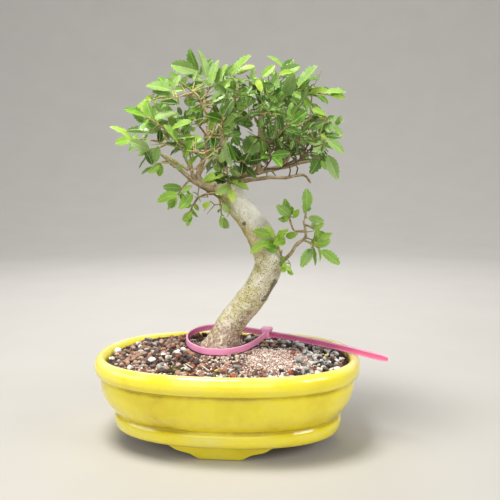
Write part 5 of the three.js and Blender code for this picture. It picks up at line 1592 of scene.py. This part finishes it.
# Stones strewn over a surface, as thick as the attribute "share" says, each turned at random.
def stoneTree(sizes):
    tree, add, given = newTree("strewn_stones", sizes)
    share = add("GeometryNodeInputNamedAttribute", {"Name": "share"}, data_type="FLOAT")
    strewn = add("GeometryNodeDistributePointsOnFaces", {"Mesh": given["Geometry"],
        "Distance Min": given["Apart"], "Density Max": given["Density"], "Density Factor": share,
        "Seed": given["Seed"]}, distribute_method="POISSON")
    size = add("FunctionNodeRandomValue", {2: given["Smallest"], 3: given["Largest"], 8: given["Seed"]})
    turn = add("FunctionNodeRandomValue", {0: (-0.5, -0.5, 0.0), 1: (0.5, 0.5, 6.28), 8: 4},
        data_type="FLOAT_VECTOR")
    tint = add("FunctionNodeRandomValue", {2: 0.0, 3: 1.0, 8: 17})
    parts = add("GeometryNodeCollectionInfo", {"Collection": given["Patterns"], "Separate Children": True})
    toned = add("GeometryNodeStoreNamedAttribute", {"Geometry": strewn.outputs["Points"], "Name": "tone",
        "Value": tint})
    raised = add("CombineXYZ", {"Z": given["Raise"]})
    lifted = add("GeometryNodeSetPosition", {"Geometry": toned, "Offset": raised})
    put = add("GeometryNodeInstanceOnPoints", {"Points": lifted, "Instance": parts, "Pick Instance": True,
        "Rotation": turn, "Scale": size})
    finishTree(add, put, given["Stone"])
    return tree


def buildSoil():
    rings, around = soilSizes["rings"], soilSizes["around"]
    length, width = soilSizes["edge"][:2]
    angles = [2 * math.pi * i / around for i in range(around)]
    top = [(*planPoint(length * k / rings, width * k / rings, angle), 0) for k in range(rings, 0, -1)
        for angle in angles]
    top = [(x, y, moundHeight(x, y) if i < around else bedHeight(x, y)) for i, (x, y, z) in enumerate(top)]
    sides = [(*planPoint(size[0], size[1], angle), size[2]) for size in (soilSizes["floor"],
        soilSizes["waist"]) for angle in angles]
    points = sides + top + [(0, 0, soilSizes["floor"][2]), (0, 0, bedHeight(0, 0))]
    bed = meshObject("soil_bed", points, loftFaces(rings + 2, around),
        attributes={"dust": [soilSizes["dust"] * stoneShares(x, y)["grit"] for x, y, z in points]})
    finishPiece(bed, "gravel", "soil", materials=[earthMaterial()])
    # The stones lie on the bed, but not against the wall of the pot.
    inner = top[2 * around:] + [(0, 0, bedHeight(0, 0))]
    count = len(inner) - 1
    faces = ringFaces(rings - 2, around)
    faces += [(count, count - around + i, count - around + (i + 1) % around) for i in range(around)]
    shares = [stoneShares(x, y) for x, y, z in inner]
    for name, kind in stoneKinds.items():
        piece = meshObject("soil_" + name, inner, faces, attributes={"share": [row[name] for row in shares]})
        sizes = {"Apart": kind["apart"] * mm, "Density": 3 / (kind["apart"] * mm) ** 2, "Seed": kind["seed"],
            "Smallest": kind["size"][0] * mm, "Largest": kind["size"][1] * mm,
            "Raise": (0.5 * kind["flat"] * kind["size"][0] - 0.6) * mm,
            "Patterns": stonePatterns("pattern_" + name, kind["round"], kind["flat"], kind["seed"]),
            "Stone": stoneMaterial("stone_" + name, kind["tints"], kind["underShade"])}
        finishPiece(grown(piece, stoneTree(sizes), sizes), "gravel")
    buildMarkedStones()
    buildMoss(inner, faces)
    print("soil made")


# Place on the soil that shows at a place of the picture.
def onSoil(across, down):
    near, far = -70.0, 70.0
    for _ in range(40):
        depth = (near + far) / 2
        spot = onPicture(across, down, depth)
        near, far = (near, depth) if spot[2] < moundHeight(spot[0], spot[1]) else (depth, far)
    return onPicture(across, down, (near + far) / 2)


# Stones put one by one, each a rough convex lump sunk a little into the soil.
def buildMarkedStones():
    for number, (kind, size, places) in enumerate(markedStones):
        draw = random.Random(50 + number).random
        form, tones, lows = bmesh.new(), [], []
        for across, down in places:
            middle = onSoil(across, down) + np.array((0, 0, 0.22 * size))
            wide, turn = size * (0.85 + 0.3 * draw()), 2 * math.pi * draw()
            lump = []
            for _ in range(14):
                way = Vector((draw() - 0.5, draw() - 0.5, draw() - 0.5)).normalized() * (0.42 + 0.12 * draw())
                x, y, z = way.x * wide, way.y * wide * 0.78, way.z * wide * 0.68
                place = middle + (x * math.cos(turn) - y * math.sin(turn),
                    x * math.sin(turn) + y * math.cos(turn), z)
                lump.append(form.verts.new(inFrame(place)))
            hull = bmesh.ops.convex_hull(form, input=lump)
            bmesh.ops.delete(form, geom=list(set(hull["geom_interior"]) | set(hull["geom_unused"])),
                context="VERTS")
            tones += [draw()] * (len(form.verts) - len(tones))
            # Painted shade: low runs from 1 at a stone's bottom to 0 higher up.
            bottom = inFrame(middle)[2]
            lows += [min(max(0.5 - 1.7 * (point.co.z - bottom) / (wide * mm), 0), 1)
                for point in list(form.verts)[len(lows):]]
        bmesh.ops.recalc_face_normals(form, faces=form.faces)
        mesh = bpy.data.meshes.new("soil_" + kind)
        form.to_mesh(mesh)
        form.free()
        setAttribute(mesh, "tone", tones)
        setAttribute(mesh, "low", lows)
        material = stoneMaterial("stone_" + kind, markedTints[kind])
        finishPiece(inScene(f"soil_{kind}_{number}", mesh), "gravel", materials=[material])


# A small cushion of moss and a few dry straws on the left of the front.
def buildMoss(inner, faces):
    middle = onSoil(*moss["at"])
    share = [math.exp(-((x - middle[0]) ** 2 + (y - middle[1]) ** 2) / moss["reach"] ** 2) for x, y,
        z in inner]
    piece = meshObject("soil_moss", inner, faces, attributes={"share": share})
    tints = [(0.0, "#2C3014"), (0.3, "#4A4C20"), (0.66, "#6E6C30"), (0.9, "#94905A")]
    sizes = {"Apart": 1.0 * mm, "Density": 2.5 / mm ** 2, "Seed": 21, "Smallest": 1.2 * mm,
        "Largest": 2.4 * mm, "Raise": 1.1 * mm, "Patterns": stonePatterns("pattern_moss", False, 1.3, 23),
        "Stone": stoneMaterial("moss_tips", tints)}
    finishPiece(grown(piece, stoneTree(sizes), sizes), "gravel")
    points, edges, thick = [], [], []
    for places in straws["at"]:
        first, last = (onSoil(*place) + np.array((0, 0, 1.6)) for place in places)
        edges.append((len(points), len(points) + 1))
        points += [first, last]
        thick += [straws["radius"] * mm] * 2
    piece = meshObject("soil_straws", points, [], attributes={"thick": thick}, edges=edges)
    sizes = {"Sides": 8, "Straw": strawMaterial()}
    tree, add, given = newTree("straws", sizes)
    finishTree(add, tubesAlong(add, given["Geometry"], given["Sides"]), given["Straw"])
    finishPiece(grown(piece, tree, sizes), "gravel")


def strawMaterial():
    # Dry grass straw: pale, fibrous along its length and a little glossy.
    material, add, shader, where = newMaterial("dry_straw")
    fibre = add("TexNoise", {"Vector": where, "Scale": 1 / (0.5 * mm), "Detail": 2.0})
    ramp = add("ValToRGB", {"Fac": fibre}, stops=[(0.3, "#B5A88C"), (0.7, "#EFE8D6")])
    feed(shader, {"Base Color": ramp, "Roughness": 0.45})
    return material


def nylonMaterial():
    # Moulded nylon: dyed through, waxy and slightly translucent, with a painted highlight on its edges and
    # its head.
    material, add, shader, where = newMaterial("moulded_pink_nylon")
    thin = add("Attribute", attribute_name="thin")
    inward = add("Attribute", attribute_name="inward")
    cloud = add("TexNoise", {"Vector": where, "Scale": 1 / (7 * mm), "Detail": 3.0})
    outer = add("ValToRGB", {"Fac": cloud}, stops=[(0.3, "#E66CA6"), (0.7, "#F08CBC")])
    dark = add("Mix", {0: inward, 6: outer, 7: "#EE6E9C"}, data_type="RGBA")
    # The foot of each tooth lies in its own shade.
    foot = add("MapRange", {"Value": inward, "From Min": 1.05, "From Max": 1.7, "To Max": 0.85})
    dark = add("Mix", {0: foot, 6: dark, 7: "#9C2C56"}, data_type="RGBA")
    # Painted highlight: pale pink where thin is high.
    colour = add("Mix", {0: thin, 6: dark, 7: "#F9B4D4"}, data_type="RGBA")
    # Fine ripples left by the mould, about 0.6 mm apart.
    ripple = add("TexNoise", {"Vector": where, "Scale": 1 / (0.6 * mm), "Detail": 2.0})
    bump = add("Bump", {"Height": ripple, "Strength": 0.12, "Distance": 0.1 * mm})
    rough = add("MapRange", {"Value": cloud, "To Min": 0.3, "To Max": 0.46})
    feed(shader, {"Base Color": colour, "Normal": bump, "Roughness": rough, "IOR": 1.53,
        "Subsurface Weight": 0.12, "Subsurface Radius": (1.0, 0.4, 0.6), "Subsurface Scale": 1.0 * mm})
    return material


def tieToothPattern():
    # One tooth of the rack: a wedge across the strap that rises along it, slanted as it shows from the front.
    length, height, width = (value * mm for value in strapSizes["tooth"])
    slant = strapSizes["toothSlant"] * mm
    outline = ((0, 0), (0.7 * length, height), (length, height), (1.1 * length, 0), (0.5 * length, -0.1 * mm))
    points = [(x + slant * side, -y, side * width / 2) for side in (-1, 1) for x, y in outline]
    faces = [(0, 1, 2, 3, 4), (9, 8, 7, 6, 5)] + [(k, k + 5, (k + 1) % 5 + 5, (k + 1) % 5) for k in range(5)]
    mesh = bpy.data.meshes.new("tie_tooth")
    mesh.from_pydata(points, [], faces)
    turnOutwards(mesh)
    setAttribute(mesh, "inward", [1.9 - 5.2 * abs(y / mm) for x, y, z in points])
    return bpy.data.objects.new("tie_tooth", mesh)


def tieTree(sizes):
    tree, add, given = newTree("toothed_tie", sizes)
    isLine = add("GeometryNodeInputNamedAttribute", {"Name": "isLine"}, data_type="FLOAT")
    apart = add("GeometryNodeSeparateGeometry", {"Geometry": given["Geometry"], "Selection": isLine})
    path = add("GeometryNodeMeshToCurve", {"Mesh": apart.outputs["Selection"]})
    stops = add("GeometryNodeCurveToPoints", {"Curve": path, "Length": given["Tooth pitch"]}, mode="LENGTH")
    turn = add("FunctionNodeAxesToRotation", [stops.outputs["Tangent"], (0.0, 0.0, 1.0)], primary_axis="X",
        secondary_axis="Z")
    tooth = add("GeometryNodeObjectInfo", {"Object": given["Tooth"]}).outputs["Geometry"]
    put = add("GeometryNodeInstanceOnPoints", {"Points": stops.outputs["Points"], "Instance": tooth,
        "Rotation": turn})
    whole = add("GeometryNodeJoinGeometry", {"Geometry": [apart.outputs["Inverted"], put]})
    finishTree(add, whole, given["Nylon"])
    return tree


# The strap stands on edge; its section has rails on the toothed side, which is the right-hand one.
def buildTie():
    section, count = strapSizes["section"], len(strapSizes["section"])
    points, thin, inward, sides = [], [], [], []
    last = len(strapPath) - 1
    for index, place in enumerate(strapPath):
        along = strapPath[min(index + 1, last)] - strapPath[max(index - 1, 0)]
        sides.append(np.array((along[1], -along[0], 0)) / math.hypot(along[0], along[1]))
    rings = [(place, side, 1.0, 1.0) for place, side in zip(strapPath[:-4], sides)]
    end, side = strapPath[-1], sides[-1]
    start = strapPath[-5]
    for step in range(1, 9):
        share = step / 8
        narrow = 1 - (1 - strapSizes["tipShare"]) * share ** 4
        rings.append((start + (end - start) * share, side, narrow, 1 - 0.45 * share ** 3))
    for place, side, narrow, flat in rings:
        for across, up in section:
            points.append(place + side * across * flat + np.array((0, 0, up * narrow)))
            # Painted highlight: most on the top rail of the toothed side, less on the top and bottom edges.
            thin.append(0.9 if up > 1.4 and across > 0 else 0.6 if up > 1.7 else 0.3 if up < -1.4 else 0.0)
            inward.append(1.0 if across > 0 and abs(up) < 1.4 else 0.0)
    points += [rings[0][0], rings[-1][0]]
    thin += [0, 0.5]
    inward += [0, 0]
    faces = loftFaces(len(rings), count)
    headPoints, headFaces = tieHead(len(points))
    points += headPoints
    faces += headFaces
    # Painted highlight over the whole head.
    thin += [0.85] * len(headPoints)
    inward += [0.0] * len(headPoints)
    skinCount = len(points)
    # The rack runs along the floor between the rails, from past the head's root to near the tip.
    first, final = strapSizes["rack"]
    rack = [strapPath[i] + sides[i] * 0.26 for i in range(first, last - final)]
    edges = [(len(points) + i, len(points) + i + 1) for i in range(len(rack) - 1)]
    points += rack
    labels = {"thin": thin + [0.0] * len(rack), "inward": inward + [0.8] * len(rack),
        "isLine": [0.0] * skinCount + [1.0] * len(rack)}
    piece = meshObject("toothed_cable_tie", points, faces, smooth=False, attributes=labels, edges=edges)
    turnOutwards(piece.data)
    sizes = {"Tooth pitch": strapSizes["toothPitch"] * mm, "Tooth": tieToothPattern(),
        "Nylon": nylonMaterial()}
    finishPiece(grown(piece, tieTree(sizes), sizes), "nylon", "cable_tie")
    print("cable tie made")


# Head: a rounded block, waisted between its brow and its lower lip, with the slot right through it.
def tieHead(offset):
    thick, deep, tall = strapSizes["head"]
    slotDeep, slotTall = strapSizes["slot"]
    around = 40
    stations = [(-0.5, 0.84, 0.9), (-0.46, 0.93, 0.96), (-0.38, 1, 1), (-0.2, 1, 1), (0.2, 1, 1),
        (0.38, 1, 1), (0.46, 0.93, 0.96), (0.5, 0.84, 0.9)]
    mouth = [(0.5, 1.3, 1.12), (0.44, 1.05, 1.02), (0.1, 1, 1), (-0.1, 1, 1), (-0.44, 1.05, 1.02),
        (-0.5, 1.3, 1.12)]
    turn = math.radians(strapSizes["headTurn"])
    points = []

    def ring(along, halfDeep, halfTall, corner):
        for k in range(around):
            angle = 2 * math.pi * k / around
            c, s = math.cos(angle), math.sin(angle)
            y = halfDeep * math.copysign(abs(c) ** corner, c)
            z = halfTall * math.copysign(abs(s) ** corner, s)
            brow = smoothStep(z, 0.8, 2.6) * 0.42 + smoothStep(-z, 2.6, 4.0) * 0.24 - 0.2
            x = along * thick * (1 + brow)
            points.append(np.array(strapSizes["headCentre"]) + (x * math.cos(turn) - y * math.sin(turn),
                x * math.sin(turn) + y * math.cos(turn), z))

    for along, wide, high in stations:
        ring(along, deep / 2 * wide, tall / 2 * high, 0.3)
    for along, wide, high in mouth:
        ring(along, slotDeep / 2 * wide, slotTall / 2 * high, 0.3)
    count = len(stations) + len(mouth)
    faces = []
    for level in range(count):
        for k in range(around):
            a, b = offset + level * around, offset + (level + 1) % count * around
            faces.append((a + k, a + (k + 1) % around, b + (k + 1) % around, b + k))
    return points, faces


def screenMaterial():
    # Moulded polyethylene mesh: black, waxy and faintly scuffed.
    material, add, shader, where = newMaterial("moulded_black_mesh")
    scuff = add("TexNoise", {"Vector": where, "Scale": 1 / (2 * mm), "Detail": 5.0})
    ramp = add("ValToRGB", {"Fac": scuff}, stops=[(0.35, "#1C1D1E"), (0.75, "#3A3B3C")])
    bump = add("Bump", {"Height": scuff, "Strength": 0.2, "Distance": 0.1 * mm})
    rough = add("MapRange", {"Value": scuff, "To Min": 0.4, "To Max": 0.6})
    feed(shader, {"Base Color": ramp, "Normal": bump, "Roughness": rough})
    return material


def finishScreens():
    material = screenMaterial()
    for name in ("drain_screen_left", "drain_screen_right"):
        for slot in bpy.data.objects[name].material_slots:
            slot.material = material
    print("drain screens finished")


buildTrunk()
print("trunk made")
buildSoil()
buildTie()
finishScreens()
buildCrown()
print("crown made")
